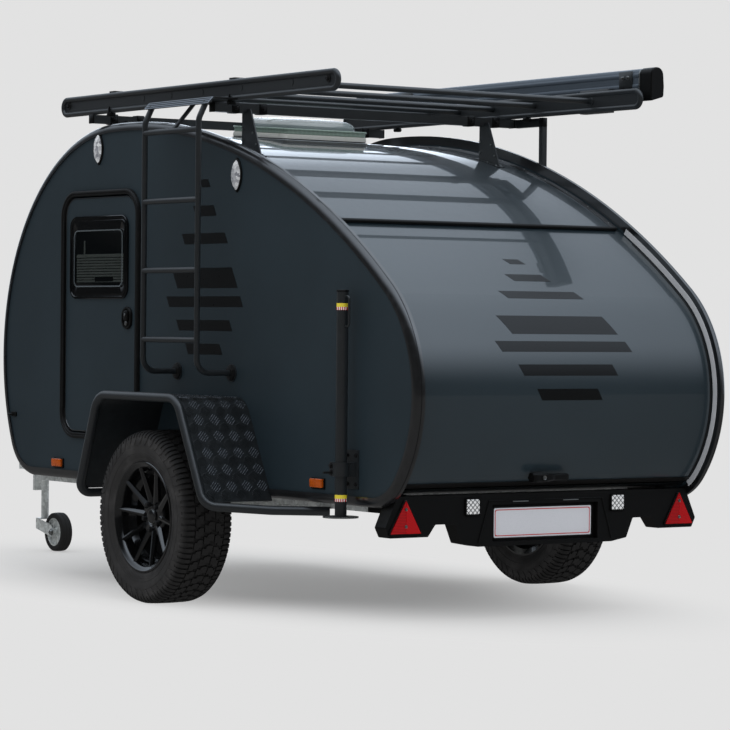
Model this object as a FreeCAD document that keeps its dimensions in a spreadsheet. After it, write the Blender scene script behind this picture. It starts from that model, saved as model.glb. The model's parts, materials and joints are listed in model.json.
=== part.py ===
"""Teardrop trailer: parametric FreeCAD model.

Millimetres.  +X points forward to the coupling, +Y to the left side, +Z up.
The origin is on the ground, on the centre line, half way along the trailer.
Every size is a cell of the sheet "Dims"; the pieces are bound to its aliases.
"""
import FreeCAD, Part
import math
import os
import re

import Sketcher

V = FreeCAD.Vector

SIZES = (
    # alias, value, what it measures
    ("body_half", 797.5, "half width over the edge trims"),
    ("tail_x", -2029.0, "where the underside line runs into the tail"),
    ("sill_z", 465.0, "height of the edge trims' lower line"),
    ("tail_corner_r", 239.0, "tail, lower corner radius"),
    ("tail_corner_turn", 211.28, "tail, lower corner, length round its arc"),
    ("tail_r", 570.0, "tail radius"),
    ("tail_turn", 901.32, "tail, length round its arc"),
    ("back_r", 3323.0, "long back radius"),
    ("back_turn", 2362.23, "back, length along its arc"),
    ("nose_r", 1053.0, "nose radius"),
    ("nose_turn", 2057.45, "nose, length round its arc"),
    ("trim_band", 40.0, "height of the edge trim"),
    ("trim_round", 30.0, "rounding of the edge trim's outer edge"),
    ("trim_proud", 52.0, "edge trim above the roof skin"),
    ("trim_depth", 37.5, "edge trim across"),
    ("skin", 28.0, "thickness of roof, floor and hatch"),
    ("wall_inset", 8.0, "side wall behind the trim's face"),
    ("run_gap", 6.0, "gap round anything that swings"),
    ("seat_gap", 0.3, "gap between touching pieces of different bodies"),
    ("far", 4000.0, "beyond every piece, for blocks that cut"),
    ("board_gap", 2.0, "boards inside, short of the walls on each side"),
    ("hinge_x", -1668.0, "hatch hinge axis, along"),
    ("hatch_low_z", 545.0, "height of the hatch's lower edge"),
    ("hinge_r", 9.0, "knuckle radius of the hatch hinge"),
    ("hinge_leaf", 60.0, "width of the hatch hinge strip"),
    ("part_reach", 300.0, "how far the cut beside the hinge runs up and down"),
    ("hinge_half", -62.5, "ends of the hatch hinge strip from the edge trims"),
    ("bulkhead_x", -1450.0, "rear face of the cabin bulkhead"),
    ("bulkhead_t", 18.0, "bulkhead thickness"),
    ("counter_z", 1010.0, "top of the galley counter"),
    ("counter_t", 30.0, "galley counter thickness"),
    ("counter_depth", 430.0, "galley counter depth"),
    ("mattress_t", 140.0, "mattress thickness"),
    ("mattress_long", 1950.0, "mattress length"),
    ("mattress_gap", 12.0, "mattress to wall"),
    ("door_x", -212.0, "rear edge of the door frame"),
    ("door_long", 702.0, "door frame length"),
    ("door_z", 656.0, "lower edge of the door frame"),
    ("door_tall", 1135.0, "door frame height"),
    ("door_r", 120.0, "door frame corner radius"),
    ("door_frame_band", 26.0, "door frame width"),
    ("door_frame_proud", 5.0, "door frame above the wall"),
    ("door_t", 30.0, "door thickness"),
    ("window_x", -115.0, "rear edge of the window"),
    ("window_long", 521.0, "window length"),
    ("window_z", 1289.0, "lower edge of the window"),
    ("window_tall", 384.0, "window height"),
    ("window_r", 60.0, "window corner radius"),
    ("window_lap", 24.0, "pane lapping over its opening"),
    ("pane_t", 14.0, "window pane thickness"),
    ("door_hinge_r", 7.0, "knuckle radius of the door hinge"),
    ("handle_x", -152.0, "rear edge of the door handle"),
    ("handle_z", 1160.0, "lower edge of the door handle"),
    ("handle_long", 84.0, "door handle length"),
    ("handle_tall", 100.0, "door handle height"),
    ("handle_r", 30.0, "door handle corner radius"),
    ("handle_t", 20.0, "door handle thickness"),
    ("axle_x", -812.0, "wheel centre, along"),
    ("wheel_y", 217.5, "wheel centre beyond the edge trims"),
    ("tyre_r", 368.5, "tyre radius, standing on the ground"),
    ("tyre_width", 245.0, "tyre width"),
    ("tyre_bulge", 40.0, "height of the sidewall's lower bulge over the lip"),
    ("tyre_shoulder", 84.0, "height of the sidewall's upper end over the lip"),
    ("tyre_side_in", 2.0, "upper end of the sidewall inside the widest point"),
    ("shoulder_drop", 16.0, "tread edge below the crown"),
    ("shoulder_in", 14.0, "tread edge from the widest point"),
    ("crown_drop", 2.0, "tread's flat below the crown"),
    ("crown_in", 30.0, "tread's flat from the widest point"),
    ("tread_t", 24.0, "tread thickness at its edge"),
    ("crown_t", 18.0, "tread thickness at the crown"),
    ("bead_w", 8.0, "slope of the bead's toe"),
    ("bead_inner", 48.0, "bead's inner end from the middle"),
    ("casing_rise", 14.0, "casing inside, above the bead seat"),
    ("casing_half", 60.0, "casing inside, above the bead"),
    ("rim_r", 216.0, "bead seat radius"),
    ("rim_lip_r", 236.0, "rim lip radius"),
    ("rim_half", 112.0, "half width of the rim barrel"),
    ("rim_t", 9.0, "rim barrel thickness"),
    ("rim_face", 60.0, "disc outer face from the wheel centre"),
    ("rim_disc_t", 24.0, "disc thickness"),
    ("rim_dish", 30.0, "how far the spokes rise from hub to rim"),
    ("hub_bore_r", 33.5, "centre bore of the rim"),
    ("spokes", 10.0, "number of spokes"),
    ("spoke_w", 30.0, "spoke width"),
    ("spoke_round", 9.0, "rounding of the gaps between spokes"),
    ("spoke_root_r", 92.0, "where the gaps between spokes start"),
    ("spoke_rim_gap", 4.0, "gaps between spokes, short of the barrel"),
    ("boss_r", 76.0, "flat of the disc round its bore"),
    ("well_depth", 26.0, "drop of the rim's well"),
    ("well_out", 20.0, "outer end of the rim's well"),
    ("well_slope", 25.0, "slope beside the well"),
    ("well_in", 47.0, "inner end of the rim's well, from the barrel's middle"),
    ("well_lead", 20.0, "length of the slope at the inner end of the well"),
    ("lip_lead", 4.0, "barrel's inner corners past its outer ones"),
    ("seat_slope", 8.0, "slope from a bead seat up to its lip"),
    ("drum_r", 125.0, "brake drum radius"),
    ("drum_long", 72.0, "brake drum length"),
    ("drum_gap", 8.0, "brake drum clear of its swing arm"),
    ("hub_r", 70.0, "hub radius behind the disc"),
    ("spindle_r", 22.0, "stub axle radius"),
    ("bearing_gap", 0.05, "running fit of hub on stub axle"),
    ("beam_side", 70.0, "axle beam, square side"),
    ("beam_x", -640.0, "axle beam, along"),
    ("arm_t", 34.0, "swing arm thickness"),
    ("arm_w", 70.0, "swing arm width"),
    ("arm_out", 10.0, "swing arm beyond the edge trims"),
    ("rail_y", -97.5, "outer face of a chassis rail from the edge trims"),
    ("rail_w", 50.0, "chassis rail width"),
    ("rail_h", 80.0, "chassis rail height"),
    ("rail_t", 4.0, "chassis rail wall"),
    ("rail_rear_x", -1873.0, "rear end of the chassis rails"),
    ("rail_front_x", 900.0, "front end of the chassis rails"),
    ("draw_rear_x", 560.0, "where the drawbars leave the rails"),
    ("draw_front_x", -95.0, "front end of the drawbars from the ball"),
    ("draw_front_y", 62.0, "drawbar centre line at its front end"),
    ("draw_w", 50.0, "drawbar width"),
    ("cross_back", 260.0, "middle cross member behind the drawbars' roots"),
    ("nose_plate_long", 150.0, "plate over the drawbars' front end"),
    ("gusset_t", 8.0, "thickness of the drawbar plates"),
    ("gusset_lap", 30.0, "drawbar plate round the jockey tube"),
    ("ball_d", 50.0, "towing ball"),
    ("ball_gap", 0.4, "coupling socket over the ball, on the diameter"),
    ("ball_x", 2295.0, "ball centre, along"),
    ("ball_z", 430.0, "ball centre height"),
    ("socket_wall", 11.0, "coupling socket wall"),
    ("socket_skirt", 18.0, "straight bore of the socket below the ball's centre"),
    ("tongue_w", 64.0, "coupling tongue width"),
    ("shank_long", 90.0, "coupling shank under the nose plate"),
    ("shank_h", 60.0, "coupling shank height"),
    ("lever_w", 30.0, "coupling lever width"),
    ("lever_sink", 6.0, "lever's foot in the socket's crown"),
    ("lever_foot", 20.0, "lever's foot, along"),
    ("lever_rise", 62.0, "lever's rear above its foot"),
    ("lever_top", 90.0, "lever's grip end above its foot"),
    ("lever_back", 114.0, "lever's reach behind its foot"),
    ("lever_t", 16.0, "lever thickness"),
    ("lever_lean", 18.0, "how far the lever leans back"),
    ("lever_round", 4.0, "rounding of the lever"),
    ("jockey_x", -210.0, "jockey tube from the ball"),
    ("jockey_outer_r", 24.0, "jockey outer tube radius"),
    ("jockey_inner_r", 19.5, "jockey inner tube radius"),
    ("tube_t", 3.0, "wall of the jockey and steady tubes"),
    ("jockey_top_z", 900.0, "top of the jockey tube"),
    ("jockey_fork_z", 165.0, "lower end of the jockey inner tube"),
    ("jockey_shown", 80.0, "inner tube above the outer tube"),
    ("jockey_below", 60.0, "outer tube below the rails"),
    ("jockey_plug", 30.0, "solid top of the inner tube"),
    ("crank_stem_r", 8.0, "stem under the jockey crank"),
    ("crank_stem", 40.0, "stem height"),
    ("crank_long", 150.0, "jockey crank length"),
    ("crank_w", 16.0, "jockey crank width"),
    ("crank_t", 8.0, "jockey crank thickness"),
    ("crank_grip_r", 13.0, "crank grip radius"),
    ("crank_grip_long", 95.0, "crank grip length"),
    ("crank_throw", 128.0, "crank grip from the tube"),
    ("jockey_r", 100.0, "jockey wheel radius"),
    ("jockey_w", 60.0, "jockey wheel width"),
    ("jockey_trail", 145.0, "jockey wheel behind its tube"),
    ("jockey_axle_r", 8.0, "jockey wheel axle radius"),
    ("jockey_axle_end", 8.0, "jockey axle beyond its fork"),
    ("jockey_boss_r", 20.0, "jockey wheel boss radius"),
    ("jockey_boss_out", 3.0, "boss beyond the tread"),
    ("jockey_disc", 10.0, "half thickness of the jockey wheel's disc"),
    ("jockey_rubber", 34.0, "depth of the jockey tyre"),
    ("jockey_shoulder", 12.0, "slope of its shoulder"),
    ("jockey_bevel", 4.0, "small bevels of the jockey tyre"),
    ("fork_t", 5.0, "jockey fork plate"),
    ("fork_gap", 4.0, "jockey wheel to its fork"),
    ("fork_round", 6.0, "rounding of the fork's corners"),
    ("fork_half", 26.0, "half width of the fork's top"),
    ("fork_drop", 24.0, "slope of the fork's shoulder"),
    ("fork_shoulder", 30.0, "shoulder ahead of the axle"),
    ("fork_tail", 20.0, "fork behind the axle"),
    ("fork_heel", 14.0, "fork ahead of and over the axle"),
    ("fork_belly", 10.0, "fork's front lower corner over the axle"),
    ("fork_pin", 40.0, "height of the fork's pin"),
    ("pin_gap", 0.05, "running fit of the fork's pin"),
    ("slide_gap", 0.06, "running fit of a sliding tube"),
    ("leg_x", -1895.0, "steady leg, along"),
    ("leg_y", 50.5, "steady leg beyond the edge trims"),
    ("leg_r", 24.0, "steady leg tube radius"),
    ("leg_low_z", 420.0, "underside of the steady leg's foot"),
    ("leg_top_z", 1325.0, "top of the steady leg"),
    ("foot_r", 72.0, "steady foot radius"),
    ("foot_t", 6.0, "steady foot thickness"),
    ("leg_floor", 6.0, "solid end of the steady tube over its foot"),
    ("grab_r", 5.0, "leg handle rod radius"),
    ("grab_in", 10.0, "leg handle's ends from the tube's middle"),
    ("grab_out", 46.0, "leg handle from the tube's middle"),
    ("grab_drop", 20.0, "leg handle below the tube's top"),
    ("grab_tall", 120.0, "leg handle height"),
    ("grab_bend", 14.0, "leg handle bend radius"),
    ("clamp_z", 585.0, "lower edge of the steady clamp"),
    ("clamp_h", 56.0, "steady clamp height"),
    ("clamp_t", 9.0, "steady clamp wall"),
    ("lug_long", 34.0, "clamp's lug beyond its ring"),
    ("lug_w", 22.0, "width of the clamp's lug"),
    ("plate_z", 534.0, "lower edge of the clamp's wall plate"),
    ("plate_h", 156.0, "wall plate height"),
    ("plate_w", 84.0, "wall plate width"),
    ("plate_t", 6.0, "wall plate thickness"),
    ("fender_r", 19.0, "fender tube radius"),
    ("fender_y", 333.5, "fender tube beyond the edge trims"),
    ("fender_top_z", 880.0, "fender tube's top run"),
    ("fender_low_z", 444.0, "fender tube's lower runs"),
    ("fender_front_x", -285.0, "fender, front lower corner"),
    ("fender_front_knee_x", -258.0, "fender, front knee"),
    ("fender_knee_z", 560.0, "fender, front knee height"),
    ("fender_top_front_x", -468.0, "fender, front top corner"),
    ("fender_top_rear_x", -1052.0, "fender, rear top corner"),
    ("fender_rear_x", -1395.0, "fender, rear lower corner"),
    ("fender_bend", 26.0, "fender tube bend radius"),
    ("fender_skin", 3.0, "fender plate thickness"),
    ("skirt_rise", 20.0, "fender plate's rear edge over the trim's lower line"),
    ("grip_x", -2236.0, "hatch handle's rear face"),
    ("grip_y", -60.0, "hatch handle's right end"),
    ("grip_z", 564.0, "hatch handle's underside"),
    ("grip_deep", 60.0, "hatch handle, depth into the panel"),
    ("grip_long", 152.0, "hatch handle length"),
    ("grip_tall", 32.0, "hatch handle height"),
    ("bumper_x", -2140.0, "rear face of the bumper"),
    ("bumper_depth", 74.0, "bumper depth"),
    ("bumper_top_z", 514.0, "bumper top edge"),
    ("bumper_half", 4.5, "bumper's ends beyond the edge trims"),
    ("bumper_low_z", 303.0, "bumper's lower edge in the middle"),
    ("pod_low_z", 350.0, "lower edge of the bumper's outer pods"),
    ("pod_inner_y", -203.5, "inner edge of a pod from the edge trims"),
    ("notch_z", 398.0, "top of the notch beside a pod"),
    ("notch_y", -337.5, "inner edge of that notch from the edge trims"),
    ("bumper_round", 9.0, "rounding of the bumper's corners"),
    ("bumper_lean", 56.0, "bumper's upper corner in from its end"),
    ("pod_rise", 40.0, "bumper's widest point over the pods"),
    ("pod_corner", 20.0, "pod's lower corner in from the end"),
    ("pod_slope", 36.0, "slope of a pod's inner edge"),
    ("notch_slope", 34.0, "slope of the notch's inner edge"),
    ("chin_rise", 14.0, "ends of the bumper's lower edge above its middle"),
    ("chin_slope", 81.0, "length of the slope to that edge"),
    ("recess_long", 545.0, "number plate recess length"),
    ("recess_tall", 150.0, "number plate recess height"),
    ("recess_deep", 22.0, "number plate recess depth"),
    ("plate_long", 504.0, "number plate length"),
    ("plate_tall", 120.0, "number plate height"),
    ("plate_mid_z", 394.5, "number plate centre height"),
    ("sheet_t", 2.0, "number plate thickness"),
    ("lamp_y", 375.0, "rear lamp centre, across"),
    ("lamp_w", 78.0, "rear lamp width"),
    ("lamp_z", 428.0, "rear lamp lower edge"),
    ("lamp_h", 74.0, "rear lamp height"),
    ("lamp_t", 9.0, "lamp and reflector thickness"),
    ("reflector_y", -90.5, "triangle reflector centre from the edge trims"),
    ("reflector_z", 365.0, "triangle reflector base"),
    ("reflector_side", 158.0, "triangle reflector side"),
    ("reflector_round", 6.0, "rounding of the reflector's corners"),
    ("bar_front_x", 208.0, "front roof bar, along"),
    ("bar_rear_x", -831.0, "rear roof bar, along"),
    ("bar_z", 2097.0, "underside of the roof bars"),
    ("bar_h", 38.0, "roof bar height"),
    ("bar_w", 40.0, "roof bar width"),
    ("bar_half", 10.5, "roof bars' ends beyond the edge trims"),
    ("foot_y", -157.5, "roof bar foot from the edge trims"),
    ("foot_plate_t", 6.0, "roof bar foot thickness"),
    ("foot_long", 185.0, "roof bar foot length at the roof"),
    ("foot_top", 66.0, "roof bar foot length at the bar"),
    ("foot_drop", 260.0, "roof bar foot below the bar's underside, before the roof cuts it"),
    ("foot_lap", 15.0, "roof bar foot up the bar's side"),
    ("rack_rear_x", -1777.0, "rack side frame, rear end"),
    ("rack_front_x", 509.0, "rack side frame, front end"),
    ("rack_low_z", 2135.3, "rack side frame, underside"),
    ("rack_top_z", 2228.0, "rack side frame, top"),
    ("rack_r", 12.0, "rack side frame tube radius"),
    ("rack_half", 5.5, "outer face of the rack side frames beyond the edge trims"),
    ("rack_plate_t", 4.0, "rack side plate thickness"),
    ("rack_plate_in", 4.0, "rack side plate inside the tubes' middle"),
    ("rung_r", 13.0, "rack cross tube radius"),
    ("rung_z", 2188.0, "rack cross tube centre height"),
    ("strap_z", 2228.3, "underside of the flat straps"),
    ("strap_t", 8.0, "flat strap thickness"),
    ("strap_w", 46.0, "flat strap width"),
    ("strap_sink", 1.0, "flat straps' hold in the rack's tubes"),
    ("awning_y", 34.5, "awning's inner face beyond the edge trims"),
    ("awning_deep", 75.0, "awning depth"),
    ("awning_z", 2172.0, "awning underside"),
    ("awning_tall", 148.0, "awning height"),
    ("awning_rear_x", -1786.0, "awning, rear end"),
    ("awning_long", 2260.0, "awning length"),
    ("awning_round", 8.0, "rounding of the awning's edges"),
    ("sky_x", -516.0, "skylight rear edge"),
    ("sky_side", 460.0, "skylight side"),
    ("sky_frame", 30.0, "skylight frame width at the roof's opening"),
    ("sky_lap", 0.5, "skylight frame over the edge of that opening"),
    ("sky_depth", 120.0, "skylight opening, cut down from the roof line"),
    ("sky_foot", 60.0, "skylight base, cut off by the roof below its line"),
    ("sky_base", 38.0, "skylight base height"),
    ("sky_lid", 26.0, "skylight lid rim height"),
    ("sky_bulge", 46.0, "skylight dome above its rim"),
    ("dome_gap", 2.0, "dome inside the base's edge"),
    ("dome_t", 6.0, "dome thickness"),
    ("ladder_y", 168.5, "ladder uprights beyond the edge trims"),
    ("ladder_front_x", -538.0, "ladder's front upright"),
    ("ladder_rear_x", -980.0, "ladder's rear upright"),
    ("ladder_r", 12.5, "ladder tube radius"),
    ("ladder_flange_z", 981.0, "ladder flange height on the wall"),
    ("ladder_bend", 60.0, "ladder bend radius"),
    ("ladder_top_drop", 60.0, "where the uprights bend in, below the step plate"),
    ("ladder_top_in", 36.0, "uprights' upper ends in from their line"),
    ("ladder_top_rise", 12.0, "uprights' upper ends over the step plate's edge"),
    ("ladder_flange_r", 37.5, "ladder flange radius"),
    ("ladder_flange_t", 5.0, "ladder flange thickness"),
    ("step_z", 2010.0, "top ladder step"),
    ("step_pitch", 297.0, "ladder step pitch"),
    ("step_plate_z", 2113.0, "top step plate"),
    ("step_plate_t", 4.0, "step plate thickness"),
    ("step_plate_in", 17.0, "step plate's edge in from the uprights"),
    ("step_plate_slope", 27.0, "width of the step plate's slope"),
    ("step_plate_rise", 28.0, "height of that slope"),
    ("step_plate_over", 50.0, "step plate behind the rear upright"),
    ("step_plate_ahead", 20.0, "step plate ahead of the front upright"),
    ("brace_r", 9.0, "ladder brace radius"),
    ("brace_bend", 10.0, "ladder brace bend radius"),
    ("brace_out", 40.0, "ladder brace's first run, in and up"),
    ("brace_reach", 118.0, "ladder brace's upper end in from the uprights"),
    ("brace_top", 2.0, "ladder brace's upper end below the step plate's flat"),
    ("post_x", -1040.0, "right side post, along"),
    ("post_y", 37.5, "right side post beyond the edge trims"),
    ("post_w", 26.0, "right side post width"),
    ("post_low_z", 1650.0, "lower end of the right side post"),
    ("post_foot_h", 60.0, "height of the post's foot on the wall"),
)

# Places measured from another size: name, the size it starts from, the distance.
PLACES = (
    ("leg_at", "body_half", "leg_y"),
    ("wheel_at", "body_half", "wheel_y"),
    ("fender_at", "body_half", "fender_y"),
    ("rail_at", "body_half", "rail_y"),
    ("bumper_at", "body_half", "bumper_half"),
    ("bar_at", "body_half", "bar_half"),
    ("foot_at", "body_half", "foot_y"),
    ("rack_at", "body_half", "rack_half"),
    ("awning_at", "body_half", "awning_y"),
    ("ladder_at", "body_half", "ladder_y"),
    ("post_at", "body_half", "post_y"),
    ("hinge_at", "body_half", "hinge_half"),
    ("reflector_at", "body_half", "reflector_y"),
    ("pod_at", "body_half", "pod_inner_y"),
    ("notch_at", "body_half", "notch_y"),
    ("draw_at", "ball_x", "draw_front_x"),
    ("jockey_at", "ball_x", "jockey_x"),
)

# Rack cross tubes, from the rear of the trailer to the front (X).
RACK_TUBES = (-1420.0, -1030.0, -715.0, -455.0, -220.0)
# Tubes across the ladder.
LADDER_STEPS = 4
# Flat straps that tie the rack's side frames and carry the awning (X).
STRAPS = (-962.0, 54.0)

doc = FreeCAD.newDocument("TeardropTrailer")
dims = doc.addObject("Spreadsheet::Sheet", "Dims")
for row, (alias, value, note) in enumerate(SIZES, start=1):
    dims.set("A%d" % row, note)
    dims.set("B%d" % row, "%.6g" % value)
    dims.setAlias("B%d" % row, alias)
doc.recompute()

ALIAS = re.compile(r"\b(" + "|".join(alias for alias, _, _ in SIZES) + r")\b")
PLACE = re.compile(r"\b(" + "|".join(place for place, _, _ in PLACES) + r")\b")
DATUM = {place: (datum, distance) for place, datum, distance in PLACES}
NODES = []


def size(alias):
    """The value of one cell or of one place, in millimetres."""
    if alias in DATUM:
        return sum(size(part) for part in DATUM[alias])
    return float(dims.get(alias))


def bound(text):
    """The expression in text with its places opened out and each alias pointing at the sheet."""
    opened = PLACE.sub(lambda found: "(%s + %s)" % DATUM[found[0]], text)
    return ALIAS.sub(r"Dims.\1", opened)


def bind(thing, **expressions):
    """Bind properties, with _ for the dot in their path, to the sheet."""
    for path, text in expressions.items():
        thing.setExpression(path.replace("_", "."), bound(text))


def place(thing, at):
    """Bind a placement's base to three expressions."""
    for axis, text in zip("xyz", at):
        thing.setExpression("Placement.Base." + axis, bound(text))
    return thing


def node(thing, label=None):
    """Register a finished sub-part under its own label."""
    if label:
        thing.Label = label
    NODES.append(thing)
    return thing


def block(name, extent, at):
    """A box of three extents, its low corner at the point."""
    thing = doc.addObject("Part::Box", name)
    bind(thing, Length=extent[0], Width=extent[1], Height=extent[2])
    return place(thing, at)


def rod(name, radius, length, at, along="Z"):
    """A cylinder from the point along +X, +Y or +Z."""
    thing = doc.addObject("Part::Cylinder", name)
    bind(thing, Radius=radius, Height=length)
    turns = {"X": (V(0, 1, 0), 90), "Y": (V(1, 0, 0), -90), "Z": (V(0, 0, 1), 0)}
    thing.Placement = FreeCAD.Placement(V(0, 0, 0), FreeCAD.Rotation(*turns[along]))
    return place(thing, at)


def fuse(name, members):
    thing = doc.addObject("Part::MultiFuse", name)
    thing.Shapes = members
    thing.Refine = True
    return thing


def cut(name, base, tools):
    thing = doc.addObject("Part::Cut", name)
    thing.Base = base
    thing.Tool = tools[0] if len(tools) == 1 else fuse(name + "_tools", tools)
    return thing


def common(name, one, other):
    thing = doc.addObject("Part::Common", name)
    thing.Base = one
    thing.Tool = other
    return thing


def mirrored(source, label):
    """The same piece on the other side of the centre line."""
    thing = doc.addObject("Part::Mirroring", label)
    thing.Source = source
    thing.Normal = V(0, 1, 0)
    return node(thing, label)


def both_sides(thing, stem):
    """Register a left piece and its mirror image."""
    node(thing, stem + "_left")
    mirrored(thing, stem + "_right")


def lines(points):
    """A closed polygon of straight edges."""
    ends = points[1:] + points[:1]
    return [Part.LineSegment(V(*a, 0), V(*b, 0)) for a, b in zip(points, ends)]


def corner(before, at, after, radius):
    """Where a fillet of the radius starts, its middle and where it ends."""
    into = (before - at).normalize()
    out = (after - at).normalize()
    half = into.getAngle(out) / 2
    reach = radius / math.tan(half)
    middle = (into + out).normalize() * (radius / math.sin(half) - radius)
    return at + into * reach, at + middle, at + out * reach


def rounded(points, radius):
    """A closed polygon with every corner rounded to one radius."""
    spots = [V(*p, 0) for p in points]
    count = len(spots)
    turns = [corner(spots[i - 1], spots[i], spots[(i + 1) % count], radius) for i in range(count)]
    edges = []
    for i, (start, middle, end) in enumerate(turns):
        edges.append(Part.Arc(start, middle, end))
        edges.append(Part.LineSegment(end, turns[(i + 1) % count][0]))
    return edges


def rectangle(x, z, long, tall, radius):
    """A rounded rectangle from its low corner."""
    return rounded([(x, z), (x + long, z), (x + long, z + tall), (x, z + tall)], radius)


def arc_chain(inset):
    """The body's side outline, moved inwards by the inset, as tangent arcs.

    They run clockwise from the tail over the roof to the chin, as (centre, start,
    middle, end).  The chin's radius brings the chain back to its first height.
    """
    low = size("sill_z") + inset
    heading = math.pi
    spot = V(size("tail_x"), low, 0)
    arcs = []
    for name in ("tail_corner", "tail", "back", "nose", "chin"):
        if name == "chin":
            turn = heading + math.pi
            radius = (spot.y - low) / (1 - math.cos(turn))
        else:
            turn = size(name + "_turn") / size(name + "_r")
            radius = size(name + "_r") - inset
        centre = spot + V(math.sin(heading), -math.cos(heading), 0) * radius
        ends = [spot]
        for part in (0.5, 1.0):
            aim = heading - turn * part
            ends.append(centre + V(-math.sin(aim), math.cos(aim), 0) * radius)
        arcs.append((centre, *ends))
        heading -= turn
        spot = ends[2]
    return arcs


def teardrop(inset):
    """The closed side outline, moved inwards by the inset."""
    arcs = arc_chain(inset)
    edges = [Part.Arc(start, middle, end) for _, start, middle, end in arcs]
    edges.append(Part.LineSegment(arcs[-1][3], arcs[0][1]))
    return edges


def roof_point(along, inset):
    """The highest point of the inset outline at one X, and its outward normal."""
    best = None
    for centre, start, _, end in arc_chain(inset):
        radius = (start - centre).Length
        if abs(along - centre.x) < radius and start.x <= along <= end.x:
            best = V(along, centre.y + math.sqrt(radius ** 2 - (along - centre.x) ** 2), 0)
            normal = (best - centre).normalize()
    return best, normal


def strip(path, thick):
    """A closed outline of a bent sheet: the path and its mitred offset to the right."""
    spots = [V(*p, 0) for p in path]
    sides = []
    for one, two in zip(spots, spots[1:]):
        run = (two - one).normalize()
        sides.append(V(run.y, -run.x, 0))
    back = [spots[0] + sides[0] * thick]
    for spot, one, two in zip(spots[1:], sides, sides[1:]):
        mitre = (one + two).normalize()
        back.append(spot + mitre * (thick / mitre.dot(one)))
    back.append(spots[-1] + sides[-1] * thick)
    return lines([(p.x, p.y) for p in spots + back[::-1]])


def pad(name, plane, outlines, depth, at):
    """A body with one sketch on an origin plane, padded towards + of its normal axis.

    On "XZ" the sketch is (X, Z) and the pad runs to +Y; on "YZ" it is (Y, Z) and runs
    to +X; on "XY" it is (X, Y) and runs to +Z.
    """
    body = doc.addObject("PartDesign::Body", name)
    sketch = body.newObject("Sketcher::SketchObject", name + "_sketch")
    origin = [f for f in body.Origin.OriginFeatures if f.Role == plane + "_Plane"][0]
    sketch.AttachmentSupport = (origin, "")
    sketch.MapMode = "FlatFace"
    for outline in outlines:
        sketch.addGeometry(outline, False)
    feature = body.newObject("PartDesign::Pad", name + "_pad")
    feature.Profile = sketch
    feature.Reversed = plane == "XZ"
    bind(feature, Length=depth)
    body.Tip = feature
    return place(body, at)


def outer_round(body, radius):
    """Round the outer edge of the padded body's face that lies furthest out in Y."""
    doc.recompute()
    base = body.Tip
    shape = base.Shape
    face = max(shape.Faces, key=lambda f: f.CenterOfMass.y)
    rim = face.OuterWire.Edges
    names = ["Edge%d" % i for i, edge in enumerate(shape.Edges, start=1)
             if any(edge.isSame(other) for other in rim)]
    fillet = body.newObject("PartDesign::Fillet", body.Name + "_round")
    fillet.Base = (base, names)
    bind(fillet, Radius=radius)
    body.Tip = fillet
    return body


def turned(name, outline):
    """A body revolved about its own Y axis from an outline of (radius, Y)."""
    body = doc.addObject("PartDesign::Body", name)
    sketch = body.newObject("Sketcher::SketchObject", name + "_sketch")
    origin = [f for f in body.Origin.OriginFeatures if f.Role == "XY_Plane"][0]
    sketch.AttachmentSupport = (origin, "")
    sketch.MapMode = "FlatFace"
    sketch.addGeometry(outline, False)
    feature = body.newObject("PartDesign::Revolution", name + "_turn")
    feature.Profile = sketch
    feature.ReferenceAxis = (sketch, ["V_Axis"])
    feature.Angle = 360
    body.Tip = feature
    return body


def pipe(name, points, radius, bend):
    """A bent round bar: straight runs joined by tangent arcs, swept with a circle."""
    spots = [V(*p) for p in points]
    edges = []
    here = spots[0]
    for before, at, after in zip(spots, spots[1:], spots[2:]):
        start, middle, end = corner(before, at, after, bend)
        edges.append(Part.LineSegment(here, start).toShape())
        edges.append(Part.Arc(start, middle, end).toShape())
        here = end
    edges.append(Part.LineSegment(here, spots[-1]).toShape())
    spine = doc.addObject("Part::Feature", name + "_path")
    spine.Shape = Part.Wire(edges)
    ring = doc.addObject("Part::Circle", name + "_ring")
    bind(ring, Radius=radius)
    run = (spots[1] - spots[0]).normalize()
    ring.Placement = FreeCAD.Placement(spots[0], FreeCAD.Rotation(V(0, 0, 1), run))
    sweep = doc.addObject("Part::Sweep", name)
    sweep.Sections = [ring]
    sweep.Spine = (spine, ["Edge%d" % (i + 1) for i in range(len(edges))])
    sweep.Solid = True
    sweep.Frenet = False
    return sweep


# ---- Body shell -----------------------------------------------------------------
WALL_OUT = "body_half - wall_inset"
TRIM_IN = "body_half - trim_depth"

skin_out = size("trim_proud")
skin_in = skin_out + size("skin")
door_in_x = size("door_x") + size("door_frame_band")
door_in_z = size("door_z") + size("door_frame_band")
door_in_long = size("door_long") - 2 * size("door_frame_band")
door_in_tall = size("door_tall") - 2 * size("door_frame_band")
door_in_r = size("door_r") - size("door_frame_band")
run_gap = size("run_gap")

opening = pad("door_opening", "XZ",
              [rectangle(door_in_x, door_in_z, door_in_long, door_in_tall, door_in_r)],
              "2 * trim_depth", ("0", "body_half - 2 * trim_depth", "0"))
wall_blank = pad("wall_blank", "XZ", [teardrop(size("trim_band"))], "trim_depth - wall_inset",
                 ("0", TRIM_IN, "0"))
both_sides(cut("side_wall", wall_blank, [opening]), "side_wall")

trim = pad("trim_blank", "XZ", [teardrop(0), teardrop(size("trim_band"))], "trim_depth",
           ("0", TRIM_IN, "0"))
both_sides(outer_round(trim, "trim_round"), "edge_trim")

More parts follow.
